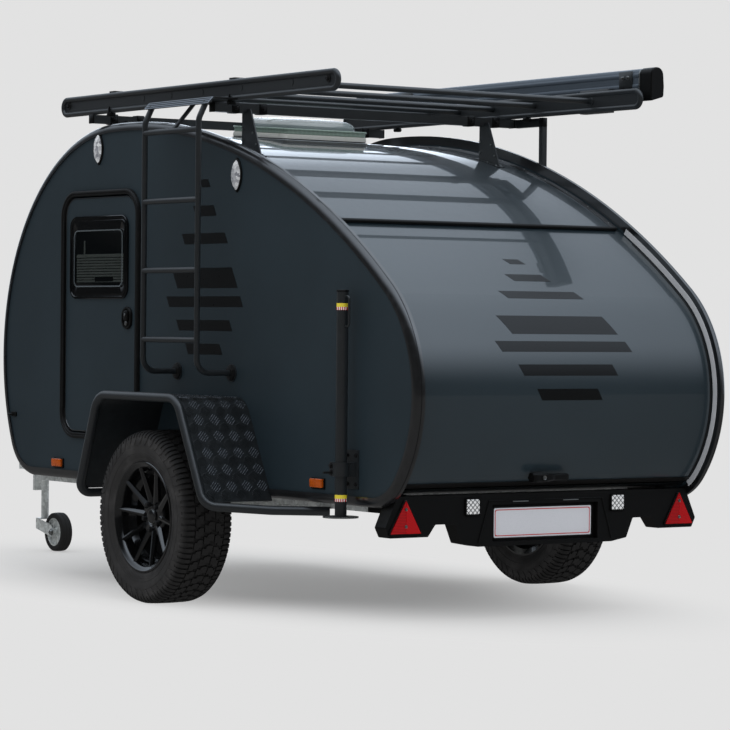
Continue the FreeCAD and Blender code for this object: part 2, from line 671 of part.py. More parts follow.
# The skin between the trims is one bent sheet, parted at the hinge and at the tail.
hinge_foot, hinge_up = roof_point(size("hinge_x"), skin_out)
hinge_run = V(hinge_up.y, -hinge_up.x, 0)
hinge_axis = hinge_foot + hinge_up * (size("hinge_r") + size("seat_gap"))
hatch_low = size("hatch_low_z")
far = size("far")
skins = {}
for part_name, side in (("hatch", -1), ("roof", 1)):
    start = hinge_foot + hinge_run * (side * run_gap / 2)
    top = start + hinge_up * size("part_reach")
    deep = start - hinge_up * size("part_reach")
    if part_name == "hatch":
        edge_z = hatch_low
        beyond = [(-far, edge_z), (-far, top.y)]
    else:
        edge_z = hatch_low - run_gap
        beyond = [(far, edge_z), (far, far), (top.x, far)]
    zone = [(top.x, top.y), (deep.x, deep.y), (deep.x, edge_z), *beyond]
    shell = pad(part_name + "_skin", "XZ", [teardrop(skin_out), teardrop(skin_in)],
                "2 * (body_half - trim_depth)", ("0", "trim_depth - body_half", "0"))
    keep = pad(part_name + "_zone", "XZ", [lines(zone)], "2 * body_half", ("0", "-body_half", "0"))
    skins[part_name] = common(part_name + "_blank", shell, keep)

floor_skin = pad("floor_skin", "XZ", [teardrop(skin_out), teardrop(skin_in)],
                 "2 * (body_half - trim_depth)", ("0", "trim_depth - body_half", "0"))
floor_zone = block("floor_zone", ("2 * far", "2 * body_half", "hatch_low_z - run_gap"),
                   ("-far", "-body_half", "0"))
node(common("floor_panel", floor_skin, floor_zone))

inside = pad("inside", "XZ", [teardrop(skin_in)], "4 * body_half", ("0", "-2 * body_half", "0"))
outside = pad("outside", "XZ", [teardrop(skin_out)], "4 * body_half", ("0", "-2 * body_half", "0"))

# ---- Skylight, on the slope of the roof -------------------------------------------
sky_rear, _ = roof_point(size("sky_x"), skin_out)
sky_front, _ = roof_point(size("sky_x") + size("sky_side"), skin_out)
sky_tilt = -math.degrees(math.atan2(sky_front.y - sky_rear.y, size("sky_side")))
sky_turn = FreeCAD.Rotation(V(0, 1, 0), sky_tilt)


def on_roof(name, inset, low, height):
    """A square block on the skylight's own tilted plane.

    The inset lists the sizes whose sum it stands in from the skylight's edge, low is its
    underside above the plane and the height is an expression.
    """
    thing = doc.addObject("Part::Box", name)
    side_long = "sky_side - 2 * (%s)" % " + ".join(("0", *inset))
    bind(thing, Length=side_long, Width=side_long, Height=height)
    inwards = sum(size(alias) for alias in inset)
    shift = sky_turn.multVec(V(inwards, 0, low))
    thing.Placement = FreeCAD.Placement(
        V(sky_rear.x, inwards - size("sky_side") / 2, sky_rear.y) + shift, sky_turn)
    return thing


sky_well = on_roof("sky_well", ["sky_frame"], -size("sky_depth"), "3 * sky_depth")
node(cut("roof_shell", skins["roof"], [sky_well]))
sky_block = on_roof("sky_block", [], -size("sky_foot"), "sky_base + sky_foot")
sky_hole = on_roof("sky_hole", ["sky_frame", "sky_lap"], -size("sky_depth"), "3 * sky_depth")
node(cut("skylight_base", sky_block, [outside, sky_hole]))

# The dome is part of a sphere, flatter by this factor than one that ends at the rim's edge.
DOME_FLATTER = 1.35
dome_r = (size("sky_side") ** 2 / 4 + size("sky_bulge") ** 2) / (2 * size("sky_bulge")) * DOME_FLATTER
dome_middle = V(size("sky_side") / 2, 0,
                size("sky_base") + size("sky_lid") + size("sky_bulge") - dome_r)
domes = []
for part_name, inset, radius in (("dome_out", ["dome_gap"], dome_r),
                                 ("dome_in", ["dome_gap", "dome_t"], dome_r - size("dome_t"))):
    slab = on_roof(part_name + "_slab", inset, size("sky_base"), "sky_lid + sky_bulge")
    ball = doc.addObject("Part::Sphere", part_name + "_ball")
    ball.Radius = radius
    ball.Placement.Base = V(sky_rear.x, 0, sky_rear.y) + sky_turn.multVec(dome_middle)
    domes.append(common(part_name, slab, ball))
node(cut("skylight_dome", domes[0], [domes[1]]))

# ---- Hatch ------------------------------------------------------------------------
hatch_trimmed = block("hatch_width", ("2 * far", "2 * (body_half - trim_depth - run_gap)", "far"),
                      ("-far", "trim_depth + run_gap - body_half", "0"))
node(common("hatch_panel", skins["hatch"], hatch_trimmed))

hinge_tilt = FreeCAD.Rotation(V(0, 1, 0), math.degrees(math.atan2(-hinge_run.y, hinge_run.x)))
barrel = rod("hinge_barrel", "hinge_r", "2 * hinge_at",
             (str(hinge_axis.x), "-hinge_at", str(hinge_axis.y)), "Y")
fixed_leaf = doc.addObject("Part::Box", "hinge_fixed_leaf")
bind(fixed_leaf, Length="hinge_leaf / 2", Width="2 * hinge_at", Height="hinge_r / 3")
leaf_foot = hinge_foot + hinge_run * (run_gap / 2)
fixed_leaf.Placement = FreeCAD.Placement(
    V(leaf_foot.x, -size("hinge_at"), leaf_foot.y), hinge_tilt)
node(cut("hatch_hinge", fuse("hinge_parts", [barrel, fixed_leaf]), [outside]))

grip = block("hatch_grip", ("grip_deep", "grip_long", "grip_tall"), ("grip_x", "grip_y", "grip_z"))
node(cut("hatch_handle", grip, [outside]))

# ---- Inside -----------------------------------------------------------------------
BOARD_HALF = "body_half - trim_depth - board_gap"
board = block("bulkhead_board", ("bulkhead_t", "2 * (%s)" % BOARD_HALF, "far"),
              ("bulkhead_x", "-(%s)" % BOARD_HALF, "0"))
counter = block("counter_board", ("counter_depth", "2 * (%s)" % BOARD_HALF, "counter_t"),
                ("bulkhead_x - counter_depth", "-(%s)" % BOARD_HALF, "counter_z - counter_t"))
node(common("galley", fuse("galley_boards", [board, counter]), inside))
node(block("mattress", ("mattress_long", "2 * (body_half - trim_depth - mattress_gap)", "mattress_t"),
           ("bulkhead_x + bulkhead_t + mattress_gap", "trim_depth + mattress_gap - body_half",
            "sill_z + trim_proud + skin")))

# ---- Doors ------------------------------------------------------------------------
DOOR_OUT = "body_half - wall_inset + door_frame_proud"
frame_ring = pad("door_frame_ring", "XZ", [
    rectangle(size("door_x"), size("door_z"), size("door_long"), size("door_tall"), size("door_r")),
    rectangle(door_in_x, door_in_z, door_in_long, door_in_tall, door_in_r)],
    "door_frame_proud", ("0", WALL_OUT, "0"))
hinge_rod = rod("door_hinge_barrel", "door_hinge_r", "door_tall - 2 * door_r - 2 * run_gap",
                ("door_x + door_long - door_frame_band - run_gap / 2",
                 DOOR_OUT + " + door_hinge_r", "door_z + door_r + run_gap"))
hinge_leaf = block("door_hinge_leaf", ("door_frame_band / 2 + run_gap / 2", "door_hinge_r / 2",
                                       "door_tall - 2 * door_r - 2 * run_gap"),
                   ("door_x + door_long - door_frame_band - run_gap / 2", DOOR_OUT,
                    "door_z + door_r + run_gap"))
both_sides(fuse("door_frame", [frame_ring, hinge_rod, hinge_leaf]), "door_frame")

door_panel = pad("door_panel", "XZ", [
    rectangle(door_in_x + run_gap, door_in_z + run_gap, door_in_long - 2 * run_gap,
              door_in_tall - 2 * run_gap, door_in_r - run_gap),
    rectangle(size("window_x") + size("window_lap"), size("window_z") + size("window_lap"),
              size("window_long") - 2 * size("window_lap"),
              size("window_tall") - 2 * size("window_lap"),
              size("window_r") - size("window_lap"))],
    "door_t", ("0", DOOR_OUT + " - door_t", "0"))
both_sides(door_panel, "door")
pane = pad("window_pane", "XZ",
           [rectangle(size("window_x"), size("window_z"), size("window_long"),
                      size("window_tall"), size("window_r"))],
           "pane_t", ("0", DOOR_OUT, "0"))
both_sides(pane, "door_window")
handle = pad("door_handle", "XZ",
             [rectangle(size("handle_x"), size("handle_z"), size("handle_long"),
                        size("handle_tall"), size("handle_r"))],
             "handle_t", ("0", DOOR_OUT, "0"))
both_sides(handle, "door_handle")

# ---- Chassis and coupling -----------------------------------------------------------
RAIL_TOP = "sill_z + trim_proud"
rail_solid = block("rail_solid", ("rail_front_x - rail_rear_x", "rail_w", "rail_h"),
                   ("rail_rear_x", "rail_at - rail_w", RAIL_TOP + " - rail_h"))
rail_bore = block("rail_bore", ("rail_front_x - rail_rear_x", "rail_w - 2 * rail_t",
                                "rail_h - 2 * rail_t"),
                  ("rail_rear_x", "rail_at - rail_w + rail_t", RAIL_TOP + " - rail_h + rail_t"))
rail = cut("rail", rail_solid, [rail_bore])
rail_other = doc.addObject("Part::Mirroring", "rail_other")
rail_other.Source = rail
rail_other.Normal = V(0, 1, 0)
crosses = []
for part_name, along in (("cross_rear", "rail_rear_x"), ("cross_mid", "draw_rear_x - rail_w - cross_back"),
                         ("cross_front", "rail_front_x - rail_w")):
    crosses.append(block(part_name, ("rail_w", "2 * (rail_at - rail_w)", "rail_h"),
                         (along, "rail_w - rail_at", RAIL_TOP + " - rail_h")))
start_y = size("rail_at") - size("rail_w") * 1.5
draw_run = V(size("draw_at") - size("draw_rear_x"), size("draw_front_y") - start_y, 0)
side_step = V(-draw_run.y, draw_run.x, 0).normalize() * (size("draw_w") / 2)
draw_start = V(size("draw_rear_x"), start_y, 0)
draw_end = draw_start + draw_run
draw_outline = [draw_start - side_step, draw_end - side_step, draw_end + side_step,
                draw_start + side_step]
drawbar = pad("drawbar_side", "XY", [lines([(p.x, p.y) for p in draw_outline])], "rail_h",
              ("0", "0", RAIL_TOP + " - rail_h"))
drawbar_other = doc.addObject("Part::Mirroring", "drawbar_other")
drawbar_other.Source = drawbar
drawbar_other.Normal = V(0, 1, 0)
nose_plate = block("nose_plate", ("nose_plate_long", "2 * draw_front_y + draw_w", "gusset_t"),
                   ("draw_at - nose_plate_long", "-draw_front_y - draw_w / 2", RAIL_TOP))
tail_plate = block("jockey_plate", ("2 * (jockey_outer_r + gusset_lap)", "2 * (draw_front_y + gusset_lap)",
                                    "gusset_t"),
                   ("jockey_at - jockey_outer_r - gusset_lap", "-draw_front_y - gusset_lap",
                    RAIL_TOP + " - rail_h - gusset_t"))
nose_bore = rod("nose_bore", "jockey_outer_r", "4 * rail_h",
                ("jockey_at", "0", RAIL_TOP + " - 2 * rail_h"))
frame = fuse("frame_parts", [rail, rail_other, *crosses, drawbar, drawbar_other, nose_plate,
                             tail_plate])
node(cut("chassis_frame", frame, [nose_bore]))

socket_r = "(ball_d + ball_gap) / 2"
shell_r = "(%s + socket_wall)" % socket_r
cup = rod("socket_cup", shell_r, "socket_skirt + ball_d / 2 + socket_wall",
          ("ball_x", "0", "ball_z - socket_skirt"))
rail_top = size("sill_z") + size("trim_proud")
nose_x = size("draw_at")
cup_top = size("ball_z") + size("ball_d") / 2 + size("socket_wall")
tongue = pad("socket_tongue", "XZ", [lines([
    (nose_x - size("shank_long"), rail_top), (nose_x, rail_top), (size("ball_x"), cup_top),
    (size("ball_x"), size("ball_z") - size("socket_skirt")),
    (nose_x + size("shank_long") / 3, size("ball_z") - size("socket_skirt")),
    (nose_x, rail_top - size("shank_h")), (nose_x - size("shank_long"), rail_top - size("shank_h"))])],
    "tongue_w", ("0", "-tongue_w / 2", "0"))
lever_z = cup_top - size("lever_sink")
lever_x = size("ball_x") - size("lever_sink")
lever_end_x = lever_x - size("lever_back")
lever_end_z = lever_z + size("lever_top")
lever = pad("coupling_lever", "XZ", [rounded([
    (lever_x, lever_z), (lever_x + size("lever_foot"), lever_z),
    (lever_x - size("lever_lean") + size("lever_w") / 2, lever_z + size("lever_rise")),
    (lever_end_x, lever_end_z), (lever_end_x - size("lever_sink"), lever_end_z - size("lever_t")),
    (lever_x - size("lever_lean"), lever_z + size("lever_rise") - size("lever_t"))],
    size("lever_round"))], "lever_w", ("0", "-lever_w / 2", "0"))
ball_bore = rod("ball_bore", socket_r, "socket_skirt", ("ball_x", "0", "ball_z - socket_skirt"))
ball_top = doc.addObject("Part::Sphere", "ball_top")
bind(ball_top, Radius=socket_r)
place(ball_top, ("ball_x", "0", "ball_z"))
node(cut("coupling_head", fuse("socket_parts", [cup, tongue, lever]),
         [ball_bore, ball_top]))

# ---- Axle and wheels ------------------------------------------------------------------
ARM_Y = "body_half + arm_out"
beam = block("beam", ("beam_side", "2 * (%s)" % ARM_Y, "beam_side"),
             ("beam_x - beam_side / 2", "-(%s)" % ARM_Y, RAIL_TOP + " - rail_h - beam_side"))
beam_z = size("sill_z") + size("trim_proud") - size("rail_h") - size("beam_side") / 2
arm_half = size("arm_w") / 2
arm_line = V(size("beam_x"), beam_z, 0) - V(size("axle_x"), size("tyre_r"), 0)
arm_side = V(-arm_line.y, arm_line.x, 0).normalize() * arm_half
hub_spot = V(size("axle_x"), size("tyre_r"), 0)
arm_outline = [hub_spot + arm_side, hub_spot - arm_side, hub_spot + arm_line - arm_side,
               hub_spot + arm_line + arm_side]
arm_bar = pad("arm_bar", "XZ", [lines([(p.x, p.y) for p in arm_outline])], "arm_t",
              ("0", ARM_Y, "0"))
arm_eye = rod("arm_eye", "arm_w / 2", "arm_t", ("axle_x", ARM_Y, "tyre_r"), "Y")
arm_root = rod("arm_root", "arm_w / 2", "arm_t",
               ("beam_x", ARM_Y, RAIL_TOP + " - rail_h - beam_side / 2"), "Y")
spindle = rod("spindle", "spindle_r", "wheel_at + rim_face - rim_disc_t - arm_t - (%s)" % ARM_Y,
              ("axle_x", "arm_t + " + ARM_Y, "tyre_r"), "Y")
arm = fuse("arm", [arm_bar, arm_eye, arm_root, spindle])
arm_other = doc.addObject("Part::Mirroring", "arm_other")
arm_other.Source = arm
arm_other.Normal = V(0, 1, 0)
node(fuse("axle", [beam, arm, arm_other]))

AXLE_AT = ("axle_x", "wheel_at", "tyre_r")
disc_out = size("rim_face")
disc_in = disc_out - size("rim_disc_t")
drum_in = size("arm_out") + size("arm_t") + size("drum_gap") - size("wheel_y")
bore = size("spindle_r") + size("bearing_gap")
hub = turned("hub_body", lines([
    (bore, drum_in), (size("drum_r"), drum_in), (size("drum_r"), drum_in + size("drum_long")),
    (size("hub_r"), drum_in + size("drum_long")), (size("hub_r"), disc_in), (bore, disc_in)]))
both_sides(place(hub, AXLE_AT), "hub")

lip_r = size("rim_lip_r")
seat_r = size("rim_r")
half_rim = size("rim_half")
rim_t = size("rim_t")
barrel_r = seat_r - rim_t
well_r = seat_r - size("well_depth")
well_out = size("well_out")
well_in = -size("well_in")
slope = size("well_slope")
foot_y = half_rim - rim_t - size("seat_slope")
disc_rise = size("rim_dish")
rim_body = turned("rim_body", lines([
    (size("hub_bore_r"), disc_in), (size("boss_r"), disc_in),
    (barrel_r, disc_in + disc_rise - size("rim_disc_t") / 4),
    (barrel_r, well_out + slope), (well_r - rim_t, well_out), (well_r - rim_t, well_in),
    (barrel_r, well_in - size("well_lead")), (barrel_r, -foot_y + size("lip_lead")),
    (lip_r - rim_t, -half_rim), (lip_r, -half_rim), (lip_r, rim_t - half_rim),
    (seat_r, -foot_y), (seat_r, well_in - size("well_lead")), (well_r, well_in),
    (well_r, well_out), (seat_r, well_out + slope), (seat_r, foot_y), (lip_r, half_rim - rim_t),
    (lip_r, half_rim), (lip_r - rim_t, half_rim), (barrel_r, disc_out + disc_rise),
    (size("boss_r") + size("lip_lead"), disc_out), (size("hub_bore_r"), disc_out)]))
window = rim_body.newObject("Sketcher::SketchObject", "rim_window_sketch")
plane = [f for f in rim_body.Origin.OriginFeatures if f.Role == "XZ_Plane"][0]
window.AttachmentSupport = (plane, "")
window.MapMode = "FlatFace"
window.AttachmentOffset = FreeCAD.Placement(V(0, 0, size("lip_lead") - disc_in), FreeCAD.Rotation())
half_step = math.pi / size("spokes")
inner_r = size("spoke_root_r")
outer_r = barrel_r - size("spoke_rim_gap")
spoke_half = size("spoke_w") / 2
window_points = []
for radius, side in ((inner_r, 1), (outer_r, 1), (outer_r, -1), (inner_r, -1)):
    swing = half_step - math.asin(spoke_half / radius)
    window_points.append((radius * math.cos(swing * side), radius * math.sin(swing * side)))
window.addGeometry(rounded(window_points, size("spoke_round")), False)
pocket = rim_body.newObject("PartDesign::Pocket", "rim_window")
pocket.Profile = window
bind(pocket, Length="4 * rim_face")
doc.recompute()
pattern = rim_body.newObject("PartDesign::PolarPattern", "rim_windows")
pattern.Originals = [pocket]
y_axis = [f for f in rim_body.Origin.OriginFeatures if f.Role == "Y_Axis"][0]
pattern.Axis = (y_axis, [""])
pattern.Angle = 360
bind(pattern, Occurrences="spokes")
rim_body.Tip = pattern
both_sides(place(rim_body, AXLE_AT), "rim")

half_tyre = size("tyre_width") / 2
tread_r = size("tyre_r")
fit = size("seat_gap")
bead = half_rim - rim_t - fit
bulge_r = lip_r + size("tyre_bulge")
side_r = lip_r + size("tyre_shoulder")
edge_r = tread_r - size("shoulder_drop")
flat_r = tread_r - size("crown_drop")
flat_y = half_tyre - size("crown_in")
inner_edge_r = tread_r - size("tread_t")
# One side from the bead's toe over the shoulder, then the same back inside the casing.
outer_side = [
    (seat_r + fit, bead - size("bead_w")), (lip_r + fit, bead), (bulge_r, half_tyre),
    (side_r, half_tyre - size("tyre_side_in")), (edge_r, half_tyre - size("shoulder_in")),
    (flat_r, flat_y)]
inner_side = [
    (seat_r + fit, size("bead_inner")), (seat_r + size("casing_rise"), size("casing_half")),
    (inner_edge_r, flat_y)]
tyre_outline = ([(r, -y) for r, y in outer_side] + [(tread_r, 0)] + outer_side[::-1] + inner_side
                + [(tread_r - size("crown_t"), 0)] + [(r, -y) for r, y in inner_side[::-1]])
tyre = turned("tyre_body", lines(tyre_outline))
both_sides(place(tyre, AXLE_AT), "tyre")

# ---- Jockey wheel -------------------------------------------------------------------
TUBE_LOW = RAIL_TOP + " - rail_h - jockey_below"
TUBE_LONG = "jockey_top_z - jockey_shown - (%s)" % TUBE_LOW
outer_tube = rod("jockey_outer_solid", "jockey_outer_r", TUBE_LONG, ("jockey_at", "0", TUBE_LOW))
outer_bore = rod("jockey_outer_bore", "jockey_inner_r + slide_gap", TUBE_LONG,
                 ("jockey_at", "0", TUBE_LOW))
node(cut("jockey_outer_tube", outer_tube, [outer_bore]))
inner_tube = rod("jockey_inner_solid", "jockey_inner_r", "jockey_top_z - jockey_fork_z",
                 ("jockey_at", "0", "jockey_fork_z"))
inner_bore = rod("jockey_inner_bore", "jockey_inner_r - tube_t",
                 "jockey_top_z - jockey_fork_z - jockey_plug", ("jockey_at", "0", "jockey_fork_z"))
knob = rod("jockey_top", "crank_stem_r", "crank_stem", ("jockey_at", "0", "jockey_top_z"))
crank = block("jockey_crank_arm", ("crank_long", "crank_w", "crank_t"),
              ("jockey_at - crank_w / 2", "-crank_w / 2", "jockey_top_z + crank_stem - crank_t"))
crank_grip = rod("jockey_crank_grip", "crank_grip_r", "crank_grip_long",
                 ("jockey_at + crank_throw", "0", "jockey_top_z + crank_stem"))
node(fuse("jockey_inner_tube", [cut("jockey_inner", inner_tube, [inner_bore]), knob, crank,
                                crank_grip]))

FORK_IN = "(jockey_w / 2 + fork_gap)"
FORK_TOP = "jockey_fork_z - seat_gap"
fork_front_x = size("jockey_at") + size("fork_half")
wheel_x = size("jockey_at") - size("jockey_trail")
fork_rear_x = wheel_x - size("fork_tail")
axle_z = size("jockey_r")
heel = size("fork_heel")
fork_side = pad("fork_side", "XZ", [rounded([
    (fork_front_x, size("jockey_fork_z") - size("seat_gap")),
    (wheel_x + size("fork_shoulder"), size("jockey_fork_z") - size("fork_drop")),
    (fork_rear_x, axle_z + heel), (fork_rear_x, axle_z - size("fork_tail")),
    (wheel_x + heel, axle_z - size("fork_drop")),
    (fork_front_x, axle_z + size("fork_belly"))], size("fork_round"))],
    "fork_t", ("0", FORK_IN, "0"))
fork_other = doc.addObject("Part::Mirroring", "fork_other")
fork_other.Source = fork_side
fork_other.Normal = V(0, 1, 0)
fork_top = block("fork_top", ("2 * fork_half", "2 * (%s + fork_t)" % FORK_IN, "fork_t"),
                 ("jockey_at - fork_half", "-%s - fork_t" % FORK_IN, FORK_TOP + " - fork_t"))
fork_pin = rod("fork_pin_rod", "jockey_inner_r - tube_t - pin_gap", "fork_pin",
               ("jockey_at", "0", FORK_TOP))
fork_axle = rod("fork_axle", "jockey_axle_r", "2 * (%s + fork_t + jockey_axle_end)" % FORK_IN,
                ("jockey_at - jockey_trail", "-%s - fork_t - jockey_axle_end" % FORK_IN, "jockey_r"),
                "Y")
node(fuse("jockey_fork", [fork_side, fork_other, fork_top, fork_pin, fork_axle]))
rolling_r = size("jockey_r")
tread_half = size("jockey_w") / 2
rubber_r = rolling_r - size("jockey_rubber")
bevel = size("jockey_bevel")
bore_r = size("jockey_axle_r") + size("bearing_gap")
boss_y = tread_half + size("jockey_boss_out")
# One side from the bore out to the tread, as (radius, Y).
jockey_side = [
    (bore_r, boss_y), (size("jockey_boss_r"), boss_y), (size("jockey_boss_r"), size("jockey_disc")),
    (rubber_r, size("jockey_disc")), (rubber_r + bevel, tread_half - bevel),
    (rubber_r + 2.5 * bevel, tread_half), (rolling_r - 1.5 * bevel, tread_half),
    (rolling_r, tread_half - size("jockey_shoulder"))]
jockey_wheel = turned("jockey_wheel",
                      lines([(r, -y) for r, y in jockey_side] + jockey_side[::-1]))
node(place(jockey_wheel, ("jockey_at - jockey_trail", "0", "jockey_r")))

# ---- Steady legs ----------------------------------------------------------------------
back_plate = block("steady_plate", ("plate_w", "plate_t", "plate_h"),
                   ("leg_x - plate_w / 2", WALL_OUT, "plate_z"))
clamp_ring = rod("steady_ring", "leg_r + clamp_t", "clamp_h", ("leg_x", "leg_at", "clamp_z"))
clamp_web = block("steady_web", ("2 * leg_r", "leg_at - (%s)" % WALL_OUT, "clamp_h"),
                  ("leg_x - leg_r", WALL_OUT, "clamp_z"))
clamp_lug = block("steady_lug", ("leg_r + clamp_t + lug_long", "lug_w", "clamp_h"),
                  ("leg_x", "leg_at - lug_w / 2", "clamp_z"))
clamp_bore = rod("steady_bore", "leg_r + slide_gap", "2 * clamp_h",
                 ("leg_x", "leg_at", "clamp_z - clamp_h / 2"))
both_sides(cut("steady_clamp", fuse("steady_clamp_parts", [back_plate, clamp_ring, clamp_web,
                                                          clamp_lug]), [clamp_bore]),
           "steady_clamp")
leg_tube = rod("leg_tube", "leg_r", "leg_top_z - leg_low_z", ("leg_x", "leg_at", "leg_low_z"))
leg_bore = rod("leg_bore", "leg_r - tube_t", "leg_top_z - leg_low_z - foot_t - leg_floor",
               ("leg_x", "leg_at", "leg_low_z + foot_t"))
foot = rod("leg_foot", "foot_r", "foot_t", ("leg_x", "leg_at", "leg_low_z"))
grab_high = size("leg_top_z") - size("grab_drop")
grab_low = grab_high - size("grab_tall")
grab_root_x = size("leg_x") - size("grab_in")
grab_x = size("leg_x") - size("grab_out")
grab = pipe("leg_grab_rod", [(grab_root_x, size("leg_at"), grab_high),
                             (grab_x, size("leg_at"), grab_high), (grab_x, size("leg_at"), grab_low),
                             (grab_root_x, size("leg_at"), grab_low)],
            "grab_r", size("grab_bend"))
both_sides(fuse("steady_leg", [cut("leg_hollow", leg_tube, [leg_bore]), foot, grab]), "steady_leg")

# ---- Fenders --------------------------------------------------------------------------
fender_out = size("fender_at")
rail_out = size("rail_at")
fender_low = size("fender_low_z")
fender = pipe("fender_tube", [
    (size("fender_front_x"), rail_out, fender_low), (size("fender_front_x"), fender_out, fender_low),
    (size("fender_front_knee_x"), fender_out, size("fender_knee_z")),
    (size("fender_top_front_x"), fender_out, size("fender_top_z")),
    (size("fender_top_rear_x"), fender_out, size("fender_top_z")),
    (size("fender_rear_x"), fender_out, fender_low), (size("fender_rear_x"), rail_out, fender_low)],
    "fender_r", size("fender_bend"))
both_sides(fender, "fender_tube")
rear_run = ((size("fender_top_z") - fender_low)
            / (size("fender_top_rear_x") - size("fender_rear_x")))
skirt_z = size("sill_z") + size("skirt_rise")
skirt_x = size("fender_top_rear_x") - (size("fender_top_z") - skirt_z) / rear_run
fender_path = [(skirt_x, skirt_z), (size("fender_top_rear_x"), size("fender_top_z")),
               (size("fender_top_front_x"), size("fender_top_z")),
               (size("fender_front_knee_x"), size("fender_knee_z")),
               (size("fender_front_x"), fender_low + size("fender_r") + size("fender_skin"))]
fender_plate = pad("fender_plate_body", "XZ", [strip(fender_path, size("fender_skin"))],
                   "fender_at - fender_r - (%s)" % WALL_OUT, ("0", WALL_OUT, "0"))
trim_ring = [teardrop(-size("seat_gap")), teardrop(size("trim_band") + size("seat_gap"))]
trim_room = pad("trim_room", "XZ", trim_ring, "trim_depth + 2 * seat_gap",
                ("0", TRIM_IN + " - seat_gap", "0"))
both_sides(cut("fender_plate_fitted", fender_plate, [trim_room]), "fender_plate")

# ---- Bumper, lamps and plate -----------------------------------------------------------
end_y = size("bumper_at")
pod_z = size("pod_low_z")
notch_z = size("notch_z")
chin_y = size("notch_at") - size("notch_slope")
chin_z = size("bumper_low_z")
bumper_side = [
    (end_y - size("bumper_lean"), size("bumper_top_z")), (end_y, pod_z + size("pod_rise")),
    (end_y - size("pod_corner"), pod_z), (size("pod_at"), pod_z),
    (size("pod_at") - size("pod_slope"), notch_z), (size("notch_at"), notch_z),
    (chin_y, chin_z + size("chin_rise")), (chin_y - size("chin_slope"), chin_z)]
bumper_outline = bumper_side + [(-y, z) for y, z in bumper_side[::-1]]
bumper_body = pad("bumper_body", "YZ", [rounded(bumper_outline, size("bumper_round"))], "bumper_depth",
                  ("bumper_x", "0", "0"))
recess = block("plate_recess", ("recess_deep", "recess_long", "recess_tall"),
               ("bumper_x", "-recess_long / 2", "plate_mid_z - recess_tall / 2"))
bumper_arm = block("bumper_arm", ("rail_rear_x - bumper_x - bumper_depth", "rail_w", "rail_h"),
                   ("bumper_x + bumper_depth", "rail_at - rail_w", RAIL_TOP + " - rail_h"))
arm_twin = doc.addObject("Part::Mirroring", "bumper_arm_other")
arm_twin.Source = bumper_arm
arm_twin.Normal = V(0, 1, 0)
room_twin = doc.addObject("Part::Mirroring", "trim_room_other")
room_twin.Source = trim_room
room_twin.Normal = V(0, 1, 0)
node(cut("bumper", fuse("bumper_parts", [bumper_body, bumper_arm, arm_twin]),
         [recess, trim_room, room_twin]))
node(block("number_plate", ("sheet_t", "plate_long", "plate_tall"),
           ("bumper_x + recess_deep - sheet_t", "-plate_long / 2", "plate_mid_z - plate_tall / 2")))
both_sides(block("rear_lamp", ("lamp_t", "lamp_w", "lamp_h"),
                 ("bumper_x - lamp_t", "lamp_y - lamp_w / 2", "lamp_z")), "rear_lamp")
side = size("reflector_side")
reflector = pad("reflector_body", "YZ", [rounded([
    (-side / 2, 0), (side / 2, 0), (0, side * math.sqrt(3) / 2)], size("reflector_round"))], "lamp_t",
    ("bumper_x - lamp_t", "reflector_at", "reflector_z"))
both_sides(reflector, "reflector")

# ---- Roof bars and rack ------------------------------------------------------------------
for part_name, along in (("roof_bar_front", "bar_front_x"), ("roof_bar_rear", "bar_rear_x")):
    beam_bar = block(part_name + "_beam", ("bar_w", "2 * bar_at", "bar_h"),
                     (along + " - bar_w / 2", "-bar_at", "bar_z"))
    edge_x = size(along) + size("bar_w") / 2
    top_z = size("bar_z") + size("foot_lap")
    low_z = size("bar_z") - size("foot_drop")
    foot_outline = [(edge_x - size("foot_long"), low_z), (edge_x, low_z), (edge_x, top_z),
                    (edge_x - size("foot_top"), top_z)]
    plates = []
    for tag, middle_y in (("left", "foot_at"), ("right", "-foot_at")):
        plates.append(pad("%s_foot_%s" % (part_name, tag), "XZ", [lines(foot_outline)],
                          "foot_plate_t", ("0", middle_y + " - foot_plate_t / 2", "0")))
    node(cut(part_name, fuse(part_name + "_parts", [beam_bar, *plates]), [outside]))

rack_mid = (size("rack_low_z") + size("rack_top_z")) / 2
end_r = (size("rack_top_z") - size("rack_low_z")) / 2 - size("rack_r")
tube_y = size("rack_at") - size("rack_r")
plate_y = tube_y - size("rack_plate_in")
# A corner a little under half the height leaves its rounded plate a short straight end.
CORNER_SHARE = 0.98
rack_parts = []
for hand, tag in ((1, "left"), (-1, "right")):
    rear_x = size("rack_rear_x") + size("rack_r") + end_r
    front_x = size("rack_front_x") - size("rack_r") - end_r
    for level in (1, -1):
        rack_parts.append(rod("rack_rail_%s_%d" % (tag, level), "rack_r",
                              str(front_x - rear_x),
                              (str(rear_x), str(hand * tube_y), str(rack_mid + level * end_r)),
                              "X"))
    for place_x, turn in ((rear_x, 90), (front_x, -90)):
        bend = doc.addObject("Part::Torus", "rack_bend_%s_%d" % (tag, turn))
        bend.Radius1 = end_r
        bind(bend, Radius2="rack_r")
        bend.Angle3 = 180
        spin = FreeCAD.Rotation(V(1, 0, 0), 90) * FreeCAD.Rotation(V(0, 0, 1), turn)
        bend.Placement = FreeCAD.Placement(V(place_x, hand * tube_y, rack_mid), spin)
        rack_parts.append(bend)
    rack_parts.append(pad("rack_side_%s" % tag, "XZ", [rounded([
        (rear_x - end_r, rack_mid - end_r), (front_x + end_r, rack_mid - end_r),
        (front_x + end_r, rack_mid + end_r), (rear_x - end_r, rack_mid + end_r)],
        end_r * CORNER_SHARE)],
        "rack_plate_t", ("0", "%s - rack_plate_t / 2" % (hand * plate_y), "0")))
for i, along in enumerate(RACK_TUBES):
    rack_parts.append(rod("rack_tube_%d" % i, "rung_r", "2 * (rack_at - rack_r)",
                          (str(along), "rack_r - rack_at", "rung_z"), "Y"))
